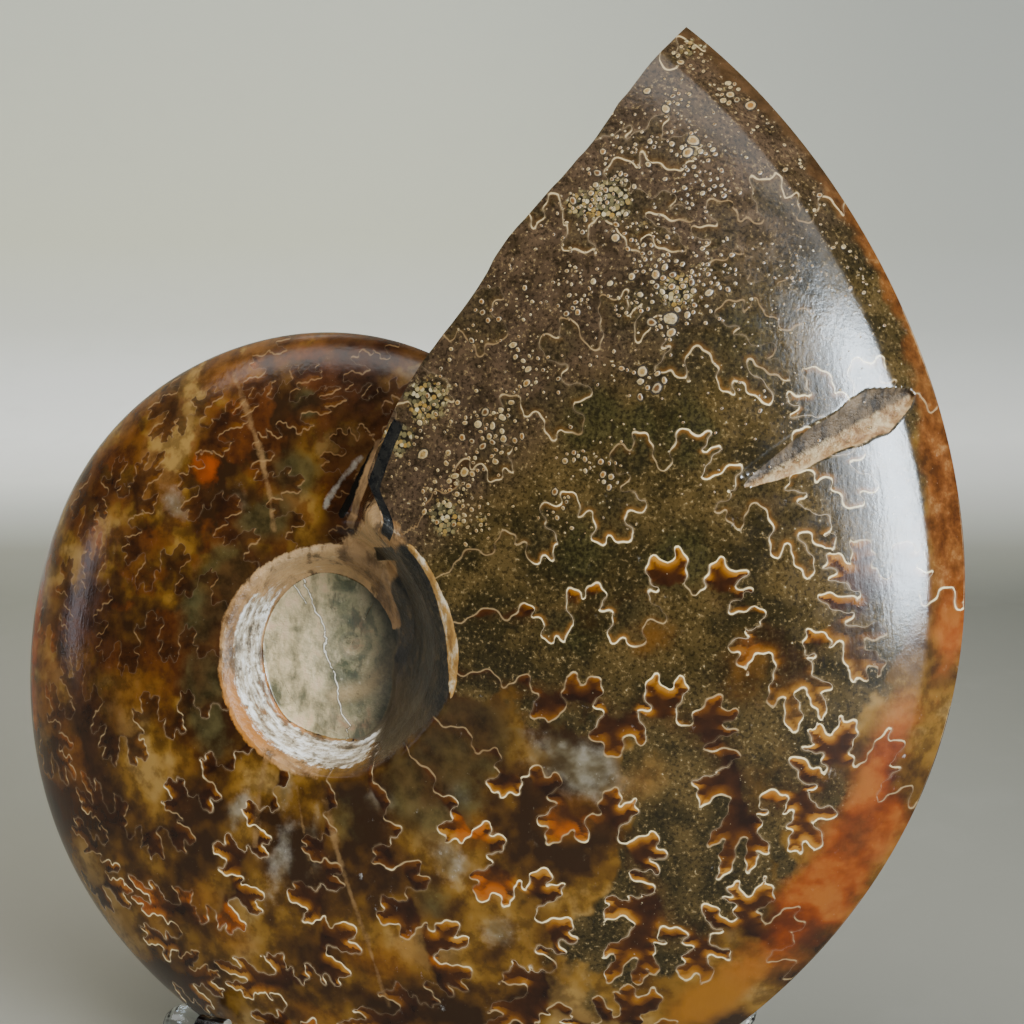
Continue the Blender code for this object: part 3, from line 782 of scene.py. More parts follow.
def flank_points(x, z, lift):
    """Points of the last whorl over places of the sawn plane, raised by lift millimetres."""
    turned = last_turn_of(x, z)
    share = np.hypot(x, z) / radius_at(turned)
    height = outer_height(turned - mouth_bend(turned, share), share, turned)
    return np.stack((x, -height, z), -1) * UNIT - np.array((0, 1 / MM, 0)) * lift[..., None]


def scattered_specks():
    """(x, z, radius in millimetres) of each speck; none lies on a larger one."""
    rows = []
    for across, up, spread, _, count, size in CLUSTERS:
        count = round(count * SPECK_COUNT)
        place = RANDOM.normal(0, spread * SPECK_SPREAD, (count, 2)) + (across, up)
        radius = size * SPECK_SIZE * np.exp(RANDOM.normal(0, .36, count))
        rows.append(np.column_stack((place, radius)))
    rows.append(np.column_stack((RANDOM.uniform(.1, .75, LONE_SPECKS),
                                 RANDOM.uniform(.2, .92, LONE_SPECKS),
                                 .09 * np.exp(RANDOM.normal(0, .35, LONE_SPECKS)))))
    specks = np.concatenate(rows)
    x, z, radius = specks.T
    turned = last_turn_of(x, z)
    share = np.hypot(x, z) / radius_at(turned)
    cut = MOUTH_TURN + cut_swing(np.full(len(x), MOUTH_TURN), share)
    from_cut = (cut - turned) * pi / 180 * share * SHELL_RADIUS * MM
    kept = (from_cut > radius * 1.3 + .5) & (turned > 386) & (radius > .06)
    kept &= (share < .985) & (share > .26)
    placed = []
    order = np.argsort(-radius)
    for index in order[kept[order]]:
        gaps = [np.hypot(x[index] - x[other], z[index] - z[other]) * SHELL_RADIUS * MM
                - radius[index] - radius[other] for other in placed]
        if not gaps or min(gaps) > .03:
            placed.append(index)
    return specks[placed].T


def specks_piece(surface):
    """Round pale grains that stand out a little from the mud near the cut, each in a dark ring."""
    x, z, radius = scattered_specks()
    count = len(x)
    angle = np.arange(SPECK_CORNERS) / SPECK_CORNERS * 2 * pi
    squash = RANDOM.uniform(.8, 1.2, (count, 1))
    bumpy = 1 + RANDOM.normal(0, .06, (count, SPECK_CORNERS))
    tilt = RANDOM.uniform(0, pi, (count, 1))
    ring_x, ring_z = np.cos(angle) * bumpy * squash, np.sin(angle) * bumpy / squash
    turned_x = ring_x * np.cos(tilt) - ring_z * np.sin(tilt)
    turned_z = ring_x * np.sin(tilt) + ring_z * np.cos(tilt)
    scale = radius[:, None] / (SHELL_RADIUS * MM)
    swell = np.clip(radius / .2, .4, 1.3)[:, None]
    points, ring = [], []
    for size, lift in SPECK_RINGS:
        lifts = np.full((count, SPECK_CORNERS), lift) * swell + .006
        spots = flank_points(x[:, None] + turned_x * scale * size,
                             z[:, None] + turned_z * scale * size, lifts)
        points.append(spots if size else spots[:, :1])
        ring.append(np.full(points[-1].shape[:2], size))
    points, ring = np.concatenate(points, 1), np.concatenate(ring, 1)

    # Triangles of one speck: a fan round its top, then the bands between its rings.
    triangles = [(0, 1 + a, 1 + (a + 1) % SPECK_CORNERS) for a in range(SPECK_CORNERS)]
    for inner in range(1, points.shape[1] - SPECK_CORNERS, SPECK_CORNERS):
        outer = inner + SPECK_CORNERS
        for a in range(SPECK_CORNERS):
            b = (a + 1) % SPECK_CORNERS
            triangles += [(inner + a, outer + a, outer + b), (inner + a, outer + b, inner + b)]
    starts = np.arange(count)[:, None, None] * points.shape[1]
    faces = (np.array(triangles)[None] + starts).reshape(-1, 3)[:, ::-1]
    tone = np.broadcast_to(RANDOM.random((count, 1)), ring.shape)
    return add_piece("specks", points, faces, {"ring": ring, "tone": tone}, surface,
                     plane_map(points[..., 0] / SHELL_RADIUS, points[..., 2] / SHELL_RADIUS))


# ---- Surfaces ----
def srgb(red, green, blue):
    """Linear colour for screen values from 0 to 255."""
    parts = [value / 255 for value in (red, green, blue)]
    return tuple(part / 12.92 if part < 0.04045 else ((part + 0.055) / 1.055) ** 2.4 for part in parts)


class Value:
    """What a node gives out, for use in sums and products."""

    def __init__(self, surface, socket):
        self.surface, self.socket = surface, socket

    def beside(self, output):
        """Another output of the same node."""
        return Value(self.surface, self.socket.node.outputs[output])

    def __add__(self, other):
        return self.surface.maths("ADD", self, other)

    def __radd__(self, other):
        return self.surface.maths("ADD", other, self)

    def __sub__(self, other):
        return self.surface.maths("SUBTRACT", self, other)

    def __rsub__(self, other):
        return self.surface.maths("SUBTRACT", other, self)

    def __mul__(self, other):
        return self.surface.maths("MULTIPLY", self, other)

    def __abs__(self):
        return self.surface.maths("ABSOLUTE", self)


class Surface:
    """A material whose nodes are written as short expressions, with colours from 0 to 255."""

    def __init__(self, name, **sockets):
        self.material = bpy.data.materials.new(name)
        self.material.use_nodes = True
        self.tree = self.material.node_tree
        self.shader = self.tree.nodes["Principled BSDF"]
        self.put(self.shader, {socket.replace("_", " "): value for socket, value in sockets.items()})
        self.places = self.node("TexCoord", output="Object")

    def put(self, node, inputs):
        """Links or sets inputs of a node, by name or number."""
        for name, value in inputs.items():
            socket = node.inputs[name]
            if isinstance(value, Value):
                self.tree.links.new(value.socket, socket)
            elif socket.type == "RGBA":
                socket.default_value = (*srgb(*value), 1)
            else:
                socket.default_value = value

    def node(self, kind, inputs=(), output=0, **settings):
        """What a new node gives out."""
        node = self.tree.nodes.new("ShaderNode" + kind)
        for name, value in settings.items():
            setattr(node, name, value)
        self.put(node, dict(inputs))
        return Value(self, node.outputs[output])

    def __getitem__(self, field):
        """What the mesh holds under that name."""
        return self.node("Attribute", output="Fac", attribute_name=field)

    def maths(self, operation, *values):
        return self.node("Math", enumerate(values), operation=operation)

    def most(self, a, b):
        return self.maths("MAXIMUM", a, b)

    def least(self, a, b):
        return self.maths("MINIMUM", a, b)

    def step(self, value, low, high, bottom=0.0, top=1.0):
        """Eases from bottom to top while value goes from low to high."""
        return self.node("MapRange", enumerate((value, low, high, bottom, top)),
                         interpolation_type="SMOOTHSTEP")

    def ragged(self, name, noise, amount):
        """A field from 0 to 1 whose soft edge is broken up by the noise."""
        return self.step(self[name] + (noise - .5) * amount, .22, .72)

    def mix(self, a, b, factor):
        """Colour a, which turns into b as the factor goes to 1."""
        return self.node("Mix", {"Factor": factor, 6: a, 7: b}, 2, data_type="RGBA")

    def layers(self, colour, *coats):
        """A colour under coats of (colour, how much of it shows)."""
        for coat, shows in coats:
            colour = self.mix(colour, coat, shows)
        return colour

    def ramp(self, value, *stops):
        """A colour ramp of (position, colour) stops."""
        ramp = self.node("ValToRGB", {0: value})
        elements = ramp.socket.node.color_ramp.elements
        while len(elements) < len(stops):
            elements.new(0.5)
        for element, (position, colour) in zip(elements, stops):
            element.position = position
            element.color = (*srgb(*colour), 1)
        return ramp

    def blend(self, value, dark, light, low=.35, high=.65):
        """A ramp of two colours."""
        return self.ramp(value, (low, dark), (high, light))

    def noise(self, size, detail=3.0, rough=0.55, stretch=(1, 1, 1), warp=0.0, seed=0.0):
        """Soft noise from 0 to 1 with features of that size in metres."""
        spot = self.node("Mapping", {"Vector": self.places,
                                     "Location": (seed, seed * 1.7, seed * 0.6),
                                     "Scale": tuple(part / size for part in stretch)})
        return self.node("TexNoise", {"Vector": spot, "Scale": 1.0, "Detail": detail,
                                      "Roughness": rough, "Distortion": warp})

    def cells(self, size):
        """Distance from the middle of the nearest grain, in sizes, and a number each grain draws."""
        spot = self.node("Mapping", {"Vector": self.places, "Rotation": (-pi / 2, 0, 0),
                                     "Scale": (1 / size,) * 3})
        away = self.node("TexVoronoi", {"Vector": spot, "Scale": 1.0}, "Distance",
                         voronoi_dimensions="2D")
        return away, self.node("SeparateColor", {0: away.beside("Color")})

    def finish(self, colour, roughness, height, distance, strength=1.0):
        """The material, with a relief that stands at most that distance, in metres, high."""
        normal = self.node("Bump", {"Height": height, "Distance": distance, "Strength": strength})
        self.put(self.shader, {"Base Color": colour, "Roughness": roughness, "Normal": normal})
        return self.material


def umbilicus_colour(s, under, fine):
    """A colour under the umbilicus: its disc with painted sunlight and shade, then the wall's ring,
    silver with a painted sheen, painted shade, ledge and lip.
    """
    course, crack = s["course"], s["crack"]
    along_wall = s.node("CombineXYZ", {0: course * .035, 1: s["rise"] * 6.5, 2: fine * .8})
    streaks = s.node("TexNoise", {"Vector": along_wall, "Scale": 1.6, "Detail": 5, "Roughness": .72})
    patchy = s.noise(.0034, 5, .65, seed=3, warp=.5)
    small = s.noise(.0017, 4, .65, stretch=(1, 1, .45), seed=17)
    ragged = (fine - .5) * .6
    torn = ragged + (small - .5) * .9

    sunny = s["sunny"] + ragged * .4
    sunlit = s.ramp(patchy * .5 + small * .5, (.38, (112, 108, 80)), (.46, (184, 168, 128)),
                    (.54, (230, 208, 162)), (.64, (236, 202, 166)))
    disc = s.layers(
        s.ramp(patchy, (.34, (86, 90, 68)), (.45, (130, 128, 98)), (.56, (168, 156, 122)),
               (.68, (182, 142, 110))),
        ((64, 72, 62), s.step(small, .52, .36, 0, .75)),
        ((206, 190, 156), s.step(small, .54, .7, 0, .7)),
        ((74, 84, 76), s.step(s["swirl"], .55, .2) * s.step(s["middle"], .09, .05) * .35),
        ((184, 158, 116), s["band"] * .75),
        ((212, 202, 174), s.step(fine, .6, .74, 0, .45)),
        ((46, 44, 34), s.step(fine, .42, .3, 0, .5)),
        (sunlit, s.step(sunny, .45, 1.0) * .78),
        ((78, 76, 60), s.step(sunny, .5, .05) * .55),
        ((34, 38, 36), s.step(s["dusk"] + ragged, .1, .8) * .9),
        ((60, 56, 44), s.step(crack, .02, .3) * .6),
        ((255, 252, 240), s.step(crack + ragged * 1.3, .45, .8) * .9))
    ring = s.layers(
        s.ramp(patchy, (.34, (104, 74, 42)), (.46, (158, 120, 76)), (.56, (178, 136, 86)),
               (.7, (200, 164, 116))),
        ((176, 110, 34), s.step(course, 188, 214) * s.step(course, 256, 232) * .8),
        ((222, 188, 140), s.step(course, 165, 125, 0, .45)),
        ((70, 52, 30), s.step(small, .48, .34, 0, .8)),
        ((214, 192, 156), s.step(streaks, .56, .7, 0, .6)))
    # The wall's silver, whose whitest parts are a painted sheen.
    silver_and_sheen = s.ramp(streaks * .45 + small * .3 + fine * .25, (.38, (66, 60, 48)),
                    (.44, (124, 108, 86)), (.5, (196, 184, 160)), (.57, (252, 252, 248)))
    silver_and_sheen = s.mix(silver_and_sheen, (76, 66, 48), s.step(fine, .48, .34, 0, .6))
    # Painted shade on the right side of the umbilicus wall, browner towards its lower end.
    wall_in_shade = s.ramp(streaks * .35 + fine * .4 + small * .25, (.38, (16, 18, 18)), (.48, (36, 36, 32)),
                  (.56, (66, 58, 44)), (.64, (112, 96, 70)))
    brown = s.mix((40, 32, 20), (88, 74, 50), small)
    wall_in_shade = s.mix(wall_in_shade, brown, s.step(course, 352, 326) * .85)
    lip = s.ramp(streaks * .4 + small * .6, (.38, (122, 84, 40)), (.5, (182, 140, 78)),
                 (.6, (232, 220, 190)))
    strip = s.ramp(streaks, (.4, (14, 15, 16)), (.6, (34, 33, 30)), (.7, (84, 78, 66)))
    ledge = s.mix((104, 80, 54), (166, 132, 92), s.step(small, .35, .62))
    pale = s.step(s["streak"] + (small - .5) * 1.6 + (fine - .5) * 1.2, .35, 1.1)
    return s.layers(
        under,
        (disc, s.step(s["disc"] + ragged, .3, .6)),
        (ring, s.step(s["wall"] + torn, .35, .65)),
        (silver_and_sheen, s.step(s["silver_and_sheen"] + torn + (streaks - .5) * 1.2, .3, .66)),
        (wall_in_shade, s.step(s["shade"] + torn * .8, .2, .75)),
        (ledge, s.step(s["ledge"] + ragged, .35, .6)),
        (strip, s.step(s["strip"] + ragged, .35, .6)),
        ((20, 18, 14), s.step(s["gap_mark"] + ragged, .35, .6)),
        (ledge, s.step(s["ridge"] + ragged, .3, .6)),
        (s.mix((84, 74, 58), (188, 182, 168), fine), pale * .75),
        (lip, s.step(s["lip"] + ragged * .9, .35, .6)))


def honey_filling(s, small, fine):
    """What fills the chambers: honey calcite, milky clouds, amber, olive and dark places."""
    blotch = s["blotch"]
    rusty = s.step(s["course"], 250, 170) * s.step(blotch, .36, .58)
    milky = s.ramp(blotch, (.3, (70, 56, 34)), (.46, (100, 88, 64)), (.6, (130, 121, 100)),
                   (.78, (162, 154, 138)))
    milky = s.mix(milky, (206, 202, 192), s.step(fine, .62, .76, 0, .6))
    clouded = s["milky"] + (small - .5) * 1.1 + (fine - .5) * .5
    return s.layers(
        s.ramp(s["tone"] + (small - .5) * .3, (.24, (44, 27, 12)), (.38, (76, 49, 17)),
               (.52, (107, 74, 23)), (.66, (130, 94, 34)), (.82, (148, 115, 60))),
        ((44, 26, 12), s.step(small, .56, .36, 0, .5)),
        (s.blend(small, (58, 28, 12), (102, 54, 18)), rusty * .7),
        (milky, s.step(clouded, .15, 1.0) * .8),
        (s.blend(small, (104, 58, 12), (146, 92, 22)), s.ragged("amber", blotch, .5) * .5),
        ((148, 62, 12), s.step(s["ember"] + (small - .5) * 1.6, .3, .9) * .8),
        (s.blend(small, (43, 41, 22), (78, 72, 42)), s.ragged("olive", small, .7) * .8),
        (s.blend(small, (34, 19, 10), (66, 37, 16)), s["dark"] * .75))


def mud_filling(s, small, grain):
    """Dried mud, olive in the middle of the flank and purplish brown towards the cut."""
    moss = s.blend(grain, (33, 30, 15), (62, 57, 28), .4, .6)
    return s.layers(
        s.ramp(s["blotch"] + (small - .5) * .4, (.28, (47, 39, 19)), (.5, (67, 54, 27)),
               (.72, (84, 67, 35))),
        (s.blend(small, (52, 40, 28), (86, 67, 50)), s["far"] * .85),
        ((22, 18, 10), s.step(grain, .48, .36, 0, .65)),
        ((150, 126, 84), s.step(grain, .57, .71, 0, .52)),
        (moss, s.ragged("moss", small, .9) * .8))


def flank_surface():
    """The polished flank: frilled septa over honey calcite, amber and dried mud, and its rim."""
    s = Surface("polished_flank", Specular_IOR_Level=.28)
    phase, gap, growth, mud, bright = (s[name] for name in ("phase", "gap", "growth", "mud", "bright"))
    small, fine = s.noise(.0019, 4, .6, seed=5), s.noise(.0008, 4, .7, seed=9)
    grain = s.noise(.00035, 2, .6, seed=7)
    # 1 on the lower edges of the frills, where light is painted onto the lines and the glow.
    lit = s.step(s["under"], -.45, .75)
    amber = s.ragged("amber", small, .5)

    # Chamber count, and how far past the septa's middle lines the point lies: over 0 inside a frill.
    chamber = s.maths("ROUND", phase)
    on_saddle = s.step(growth - chamber, -.51, -.49)
    bare = s["bare_lobe"] + on_saddle * (s["bare_saddle"] - s["bare_lobe"])
    depth = s.least(growth - (chamber - 1.0), chamber - growth) * -1.0 + s["wobble"]

    # The fillings, in shade beside the frills.
    mud_colour = mud_filling(s, small, grain)
    muddy = mud + (fine - .5) * .5 + (small - .5) * .7
    mud_mask = s.step(muddy, .15, .85) * (1.0 - amber * .7)
    shadow = s.step(depth, -.24, .02) * (1.0 - mud_mask * .2) * s.step(growth, 14.2, 13.8)
    shadow = shadow * s.step(shadow + (small - .5) * .8, .1, .6)
    own = s.layers(
        honey_filling(s, small, fine),
        (mud_colour, mud_mask),
        (s.blend(small * .6 + fine * .4, (28, 16, 8), (78, 46, 18), .36, .64), shadow * .48))

    # The frills: dark in their middles, amber inside their tips, with a painted glow near their lines,
    # most on the lower edges.
    near_line = s.step(gap, .8, .0) * .35 + s.step(gap, 2.6, .2) * .65
    glow = near_line * (.25 + lit * .65) * (.35 + bright * .65)
    warmth = s.step(depth, .0, .5, 0, .3) + glow + (small - .5) * .45 + amber * .25
    plain = s.mix(mud_colour, s.blend(grain, (34, 31, 18), (66, 57, 32), .4, .6), .5)
    # Tan along the lines of bare lobes, on their lower edges only: partly their colour, partly painted
    # light.
    lit_tan_edge = s.step(gap, .55, .05) * lit * bright
    plain = s.mix(plain, (140, 94, 40), lit_tan_edge * s.step(s["far"], 0, 1, .75, .3))
    frill = s.layers(
        s.ramp(warmth, (.08, (34, 18, 10)), (.34, (62, 33, 13)), (.55, (94, 54, 16)),
               (.78, (134, 84, 22)), (1.0, (168, 116, 42))),
        ((160, 70, 10), amber * s.step(warmth, .35, .8) * .65),
        (plain, bare * .94),
        (s.blend(small, (32, 18, 10), (66, 36, 16)), s["dark"] * s.step(warmth, .85, .4) * .8),
        (own, s.step(s["course"], 235, 190, 0, .4)))

    # Rims of other minerals.
    ochre = s.ramp(s["blotch"] + (small - .5) * .5, (.15, (88, 38, 14)), (.4, (120, 52, 14)),
                   (.6, (144, 68, 18)), (.85, (160, 92, 34)))
    yellowed = s.step(s["course"], 334, 324) * s.step(s["course"], 240, 300)
    rim = s.ramp(small + (fine - .5) * .5, (.34, (70, 40, 18)), (.48, (98, 56, 22)),
                 (.6, (122, 74, 30)), (.76, (158, 116, 66)))

    # Septa: fine lines, cream with a painted highlight on the lower edges, thin and grey on the upper
    # ones.
    off_line = abs(s.maths("FRACT", phase) - .5) * (LINE_BAND * MM)
    wide = (.04 + lit * .06) * s.step(small, .3, .7, .7, 1.3)
    line = s.step(off_line, wide, wide * .35)
    halo = s.step(off_line, .24, .05) * bright * s.step(fine, .4, .6)
    dull = s.mix((112, 92, 70), (140, 104, 62), lit)
    cream = s.mix(dull, s.mix((160, 142, 116), (255, 234, 180), lit), bright)

    # Crumbly crust in the mud, and sparse bright flecks.
    crust = s.step(s["crust"] + (fine - .5) * 1.3, .34, .62)
    from_middle, chance = s.cells(.00042)
    crumbs = s.ramp(chance, (.0, (60, 54, 34)), (.3, (104, 96, 66)), (.48, (132, 118, 76)),
                    (.66, (154, 120, 56)), (.82, (162, 144, 98)), (1.0, (200, 186, 148)))
    colour = s.layers(
        s.mix(own, frill, s.step(depth, -.02, .05)),
        (s.mix(ochre, (146, 94, 26), yellowed), s.ragged("ochre", s["blotch"], .4) * .9),
        (s.mix(rim, s.blend(small, (52, 38, 22), (90, 64, 38)), s["far"]), s["rim"] * .9),
        ((176, 150, 112), halo * .35),
        (cream, line * s.step(bright + lit * .4, .1, 1.1, .28, 1)),
        (s.mix(crumbs, (30, 27, 18), s.step(from_middle, .42, .62)), crust * .9),
        ((214, 198, 160), s.step(grain, .71, .78) * s.step(mud, .3, .8, .1, .6)))

    # The ground-out groove: striated grey above, crumbly cream below.
    striated = s.noise(.0009, 3, .7, stretch=(1, 1, .25), seed=91)
    upper = s.blend(striated, (58, 48, 36), (132, 110, 82), .36, .62)
    lower = s.ramp(fine * .5 + small * .5, (.36, (120, 84, 50)), (.46, (172, 134, 88)),
                   (.58, (214, 190, 146)))
    groove = s.step(s["groove"] + (fine - .5) * .5, .08, .4)
    vein = s.step(s["vein"] + (fine - .5) * .9 + (small - .5) * 1.2, .25, .95)
    colour = s.layers(
        umbilicus_colour(s, colour, fine),
        (s.blend(small, (100, 72, 42), (156, 122, 78)), vein * .6),
        (s.mix(upper, lower, s.step(s["groove_side"] + (fine - .5) * .4, -.12, .14)), groove))

    hollow = s.most(s["wall"], s.most(s["disc"], s.most(s["silver_and_sheen"], s["shade"])))
    matt = s.most(groove, s.most(hollow * .8, s.most(mud_mask * .22, crust * .35)))
    rough = s.most(s.step(small, .3, .7, .16, .23), matt * .6)
    rugged = s.most(s["groove"], hollow) * fine * 10.0
    scratches = s.noise(.0005, 2, .5, stretch=(1, 1, .05), seed=105)
    return s.finish(colour, rough, grain * .35 + rugged + scratches * .5, .00003)


def specks_surface():
    """Round grains: cream or amber, with a paler rim and a dark line round them."""
    s = Surface("pale_grains", Specular_IOR_Level=.22)
    ring, fine = s["ring"], s.noise(.00025, 3, .6, seed=3)
    colour = s.layers(
        s.ramp(s["tone"], (.0, (74, 50, 22)), (.25, (132, 86, 30)), (.5, (148, 112, 56)),
               (.8, (154, 124, 72)), (1.0, (180, 156, 106))),
        ((182, 164, 124), s.step(ring, .45, .7) * .6),
        ((96, 72, 42), s.step(fine, .5, .32, 0, .6)),
        ((44, 35, 22), s.step(ring + (fine - .5) * .2, .9, 1.04)))
    return s.finish(colour, s.step(fine, .3, .7, .25, .5), fine, .00003)


def umbilicus_surface():
    """The worn disc, greenish beige with a pale crack, and the foot of the wall round it."""
    s = Surface("worn_umbilicus")
    fine = s.noise(.0008, 4, .7, seed=9)
    colour = umbilicus_colour(s, (90, 80, 60), fine)
    relief = fine * .6 + s.noise(.0026, 4, .6, seed=15)
    return s.finish(colour, s.step(fine, .3, .7, .34, .6), relief, .0003)


def cut_surface():
    """The sawn mouth: mud inside a shell of thin pale and brown layers."""
    s = Surface("sawn_mouth")
    fine, small = s.noise(.0006, 4, .7, seed=5), s.noise(.002, 4, .6, seed=7)
    layered = s["skin"] + (small - .5) * .35
    shell = s.ramp(layered * .8, (.0, (120, 78, 40)), (.25, (196, 166, 118)), (.45, (138, 92, 48)),
                   (.62, (218, 200, 164)), (.85, (70, 48, 30)))
    colour = s.layers(
        s.ramp(s["blotch"] + (small - .5) * .5, (.28, (58, 48, 34)), (.5, (92, 76, 52)),
               (.7, (124, 106, 76))),
        ((44, 38, 28), s.step(fine, .48, .34, 0, .7)),
        ((196, 184, 152), s.step(fine, .6, .7, 0, .7)),
        (shell, s.step(layered, 1.25, 1.0)))
    return s.finish(colour, s.step(fine, .3, .7, .28, .5), fine + small, .0001)


def back_surface():
    """The sawn and polished face: chambers of banded calcite between thin curved septa."""
    s = Surface("sawn_chambers", Specular_IOR_Level=.42)
    small, fine = s.noise(.002, 4, .6, seed=5), s.noise(.0007, 4, .7, seed=9)
    chamber, inwards, whorl_turn, width, tone, blotch = (
        s[name] for name in ("chamber", "inwards", "whorl_turn", "whorl_width", "tone", "blotch"))
    # A number from 0 to 1 that each chamber draws.
    chance = s.maths("FRACT", s.maths("SINE", s.maths("FLOOR", chamber) * 12.9) * 437.5)
    # Millimetres to the nearest septum, whorl wall and siphon tube.
    septum = abs(chamber - s.maths("ROUND", chamber)) * s["pitch"] + s.step(whorl_turn, 422, 426, 0, 9)
    wall = abs(inwards - s.maths("ROUND", inwards)) * width
    tube = abs(s.maths("FRACT", inwards) - .075) * width
    # Crystals grew inwards from the walls of each chamber in bands.
    depth = s.least(wall * .8, septum) + (small - .5) * 1.2
    bands = s.ramp(depth * .24, (.0, (50, 28, 14)), (.16, (118, 70, 28)), (.28, (164, 118, 62)),
                   (.42, (122, 70, 28)), (.6, (172, 140, 94)), (.85, (204, 190, 162)))
    honey = s.ramp(tone + (small - .5) * .5, (.28, (62, 33, 13)), (.48, (108, 63, 22)),
                   (.66, (146, 98, 42)), (.8, (178, 140, 88)))
    milky = s.step(blotch + chance * .4, .62, .86) * s.step(depth, .6, 1.8)
    mud = s.ramp(blotch + (fine - .5) * .7, (.3, (62, 50, 34)), (.5, (96, 78, 52)),
                 (.7, (134, 114, 80)))
    muddy = s.most(s.step(whorl_turn + (tone - .5) * 26, 398, 408),
                   s.step(chance, .12, .06) * s.step(tone, .44, .56))
    tube_edge = s.step(tube, .55, .45) * s.step(tube, .28, .38) * s.step(width, 4, 9)
    colour = s.layers(
        bands,
        (honey, s.step(chance + (blotch - .5) * .6, .35, .65)),
        ((200, 192, 172), milky * .75),
        (mud, muddy),
        ((48, 28, 14), s.step(septum, .4, .22)),
        ((214, 192, 150), s.step(septum, .16, .1)),
        ((52, 32, 18), tube_edge * .8),
        (s.blend(small, (40, 24, 14), (92, 58, 30)), s.step(wall, .62, .48)),
        ((226, 208, 172), s.step(wall + (fine - .5) * .2, .32, .2)))
    rough = s.most(s.step(small, .3, .7, .12, .2), muddy * .36)
    return s.finish(colour, rough, fine + s.step(septum, .3, .1) + s.step(wall, .4, .2), .00003)


def acrylic_surface(name):
    """Clear acrylic with a faint blue cast, a little dust and fine wear."""
    s = Surface(name, IOR=1.49, Transmission_Weight=1.0)
    fine = s.noise(.004, 3, .5, seed=3)
    dust = s.step(s.noise(.0006, 3, .6, seed=5), .6, .72, 0, 1)
    colour = s.mix((247, 250, 252), (236, 242, 247), fine)
    return s.finish(colour, s.step(fine + dust * .2, .4, 1, .02, .09), fine, .00002)


# ---- Fossil ----
curves, flank = septum_curves(), flank_surface()
pieces = [flank_sector(*sector, curves, flank) for sector in SECTORS]
pieces += [umbilicus_piece(umbilicus_surface()), mouth_piece(cut_surface()),
           back_piece(back_surface()), specks_piece(specks_surface())]
for piece in pieces:
    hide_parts("ammonite_half")

# ---- Stand ----
for name in ("cheek_left", "cheek_right", "rod_seat", "rod_rear", "rod_top"):
    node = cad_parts[name]
    acrylic = acrylic_surface(f"clear_{name}")
    for material_slot in node.material_slots:
        material_slot.material = acrylic
    weld = node.modifiers.new("joined_corners", "WELD")
    weld.merge_threshold = 0.00001      # the frame's corners are split, and a bevel needs them whole
    bevel = node.modifiers.new("soft_edges", "BEVEL")
    bevel.width = 0.00025
    bevel.segments = 2
    bevel.limit_method = "ANGLE"
    bevel.angle_limit = radians(40)

# ---- Floor, light and camera ----
VIEW_SIDE = radians(18.6)       # the paper faces the camera, which stands this far to the right
# Shades of the paper on the left and right, worked back from the photo's background, by metres
# away from the camera plus metres up.
PAPER_SHADES = (
    (.03, (139, 136, 124), (119, 118, 107)), (.075, (143, 142, 130), (104, 103, 92)),
    (.115, (140, 138, 126), (95, 94, 83)), (.165, (126, 125, 111), (82, 82, 72)),
    (.198, (139, 138, 124), (125, 125, 113)), (.228, (190, 191, 183), (170, 170, 162)),
    (.251, (230, 230, 223), (193, 193, 187)), (.28, (244, 244, 239), (212, 212, 206)),
    (.32, (225, 225, 219), (190, 191, 185)), (.35, (204, 204, 191), (171, 172, 165)),
    (.4, (195, 195, 172), (158, 159, 150)), (.52, (186, 187, 171), (150, 151, 142)),
)


def paper_surface():
    """Pale paper that lies in soft shade on the floor and is lit where it rises."""
    s = Surface("pale_paper")
    across = s.node("SeparateXYZ", {0: s.places})
    away = across.beside(1) + across.beside(2)
    left, right = (s.ramp(away, *((shade[0], shade[side]) for shade in PAPER_SHADES))
                   for side in (1, 2))
    fine = s.noise(.01, 3, seed=3)
    colour = s.layers(left, (right, s.step(across, -.05, .16)),
                      ((160, 158, 150), s.step(fine, .5, .8, 0, .06)))
    return s.finish(colour, .85, fine, .0001, .2)


def cyclorama():
    """A pale floor that curves up into the backdrop."""
    width, back, high, curve = 3.0, 0.45, 1.8, 0.22
    profile = [(-1.6, 0.0), (back - curve, 0.0)]
    profile += [(back - curve + curve * sin(radians(a)), curve - curve * cos(radians(a)))
                for a in range(6, 91, 6)]
    profile.append((back, high))
    points = [(x, y, z) for x in (-width, width) for y, z in profile]
    columns = len(profile)
    mesh = bpy.data.meshes.new("backdrop")
    faces = [(place, place + 1, columns + place + 1, columns + place) for place in range(columns - 1)]
    mesh.from_pydata(points, [], faces)
    mesh.shade_smooth()
    mesh.materials.append(paper_surface())
    paper = bpy.data.objects.new("backdrop", mesh)
    paper.rotation_euler.z = VIEW_SIDE
    bpy.context.scene.collection.objects.link(paper)


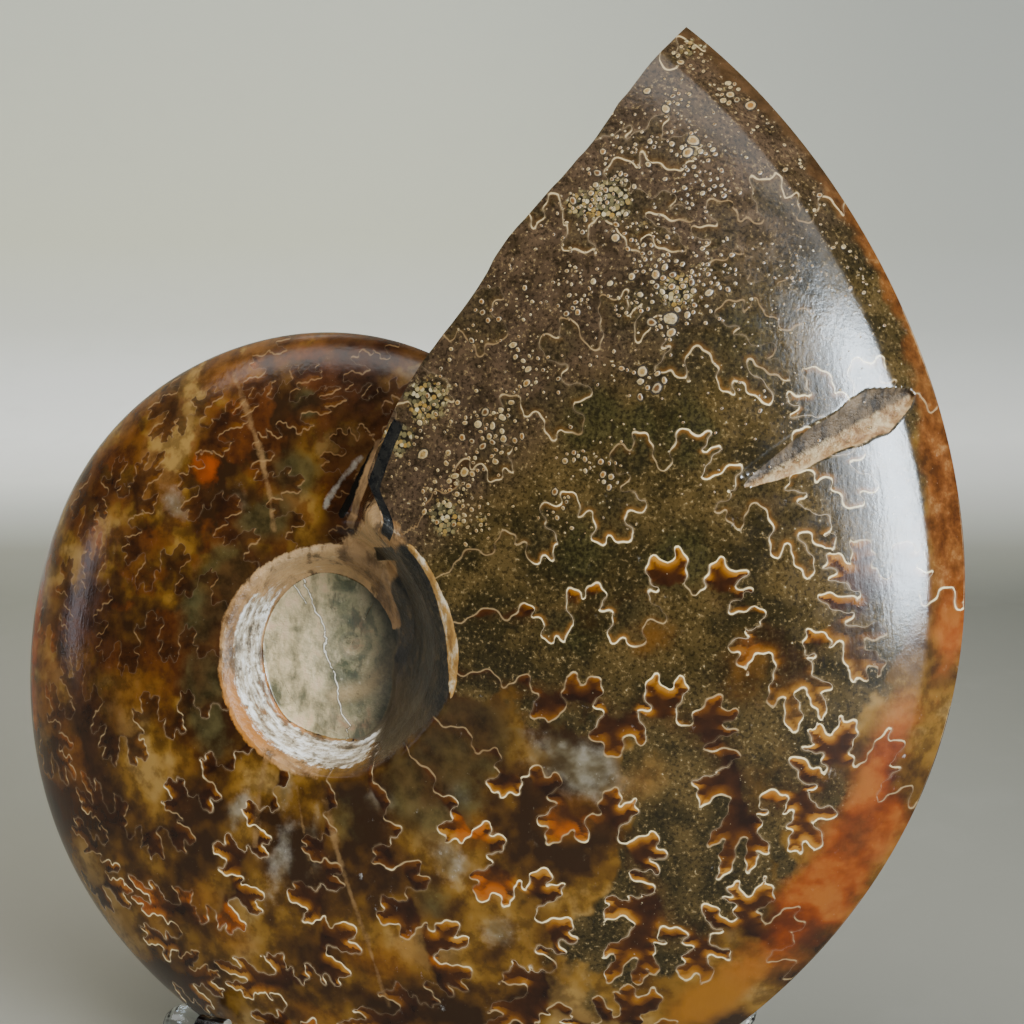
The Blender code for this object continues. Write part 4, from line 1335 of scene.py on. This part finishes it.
def around(azimuth, elevation, distance):
    """A place seen from the fossil: azimuth 0 in front of it, 90 to its right."""
    a, e = radians(azimuth), radians(elevation)
    return POLE + Vector((sin(a) * cos(e), -cos(a) * cos(e), sin(e))) * distance


def area_light(name, place, aim, size, power, colour, shines=(True, True)):
    """A soft box; shines says whether it lights matt surfaces and whether glossy ones mirror it."""
    data = bpy.data.lights.new(name, "AREA")
    data.shape = "RECTANGLE"
    data.size, data.size_y = size
    data.energy = power
    data.color = colour
    lamp = bpy.data.objects.new(name, data)
    bpy.context.scene.collection.objects.link(lamp)
    lamp.location = place
    lamp.rotation_euler = (Vector(aim) - Vector(place)).to_track_quat("-Z", "Y").to_euler()
    lamp.visible_diffuse, lamp.visible_glossy = shines
    return lamp


cyclorama()
area_light("window", around(57, 21, .75), POLE, (0.34, 0.40), 7.0, (0.88, 0.94, 1.0))
area_light("window_gloss", around(64, 19, .75), POLE, (0.24, 0.48), 34.0, (0.78, 0.90, 1.0),
           (False, True))
area_light("side_window", around(-70, 4, .8), POLE, (0.08, 0.2), 0.25, (0.85, 0.88, 1.0))
area_light("soft_front", around(-14, 62, .9), POLE, (0.7, 0.4), 3.4, (1.0, 0.98, 0.95), (True, False))
area_light("backdrop_light", (0, -.15, .85), (0, .45, .25), (1.6, 0.3), 7.0, (1.0, 1.0, .98))
area_light("rear_left", around(-150, 40, .8), POLE, (0.5, 0.5), 4.0, (1.0, 0.98, 0.95))

world = bpy.data.worlds.new("studio")
world.use_nodes = True
sky = world.node_tree.nodes["Background"].inputs
sky["Color"].default_value = (*srgb(200, 201, 196), 1)
sky["Strength"].default_value = 0.14
bpy.context.scene.world = world

CAMERA_PLACE = POLE + Vector((0.07377, -0.17122, 0.06603))
CAMERA_AIM = POLE + Vector((0.01514, 0.00298, 0.01402))
lens = bpy.data.cameras.new("camera")
lens.lens = 68.55
lens.sensor_width = 36
lens.clip_start = 0.01
camera = bpy.data.objects.new("camera", lens)
bpy.context.scene.collection.objects.link(camera)
camera.location = CAMERA_PLACE
camera.rotation_euler = (CAMERA_AIM - CAMERA_PLACE).to_track_quat("-Z", "Y").to_euler()
bpy.context.scene.camera = camera
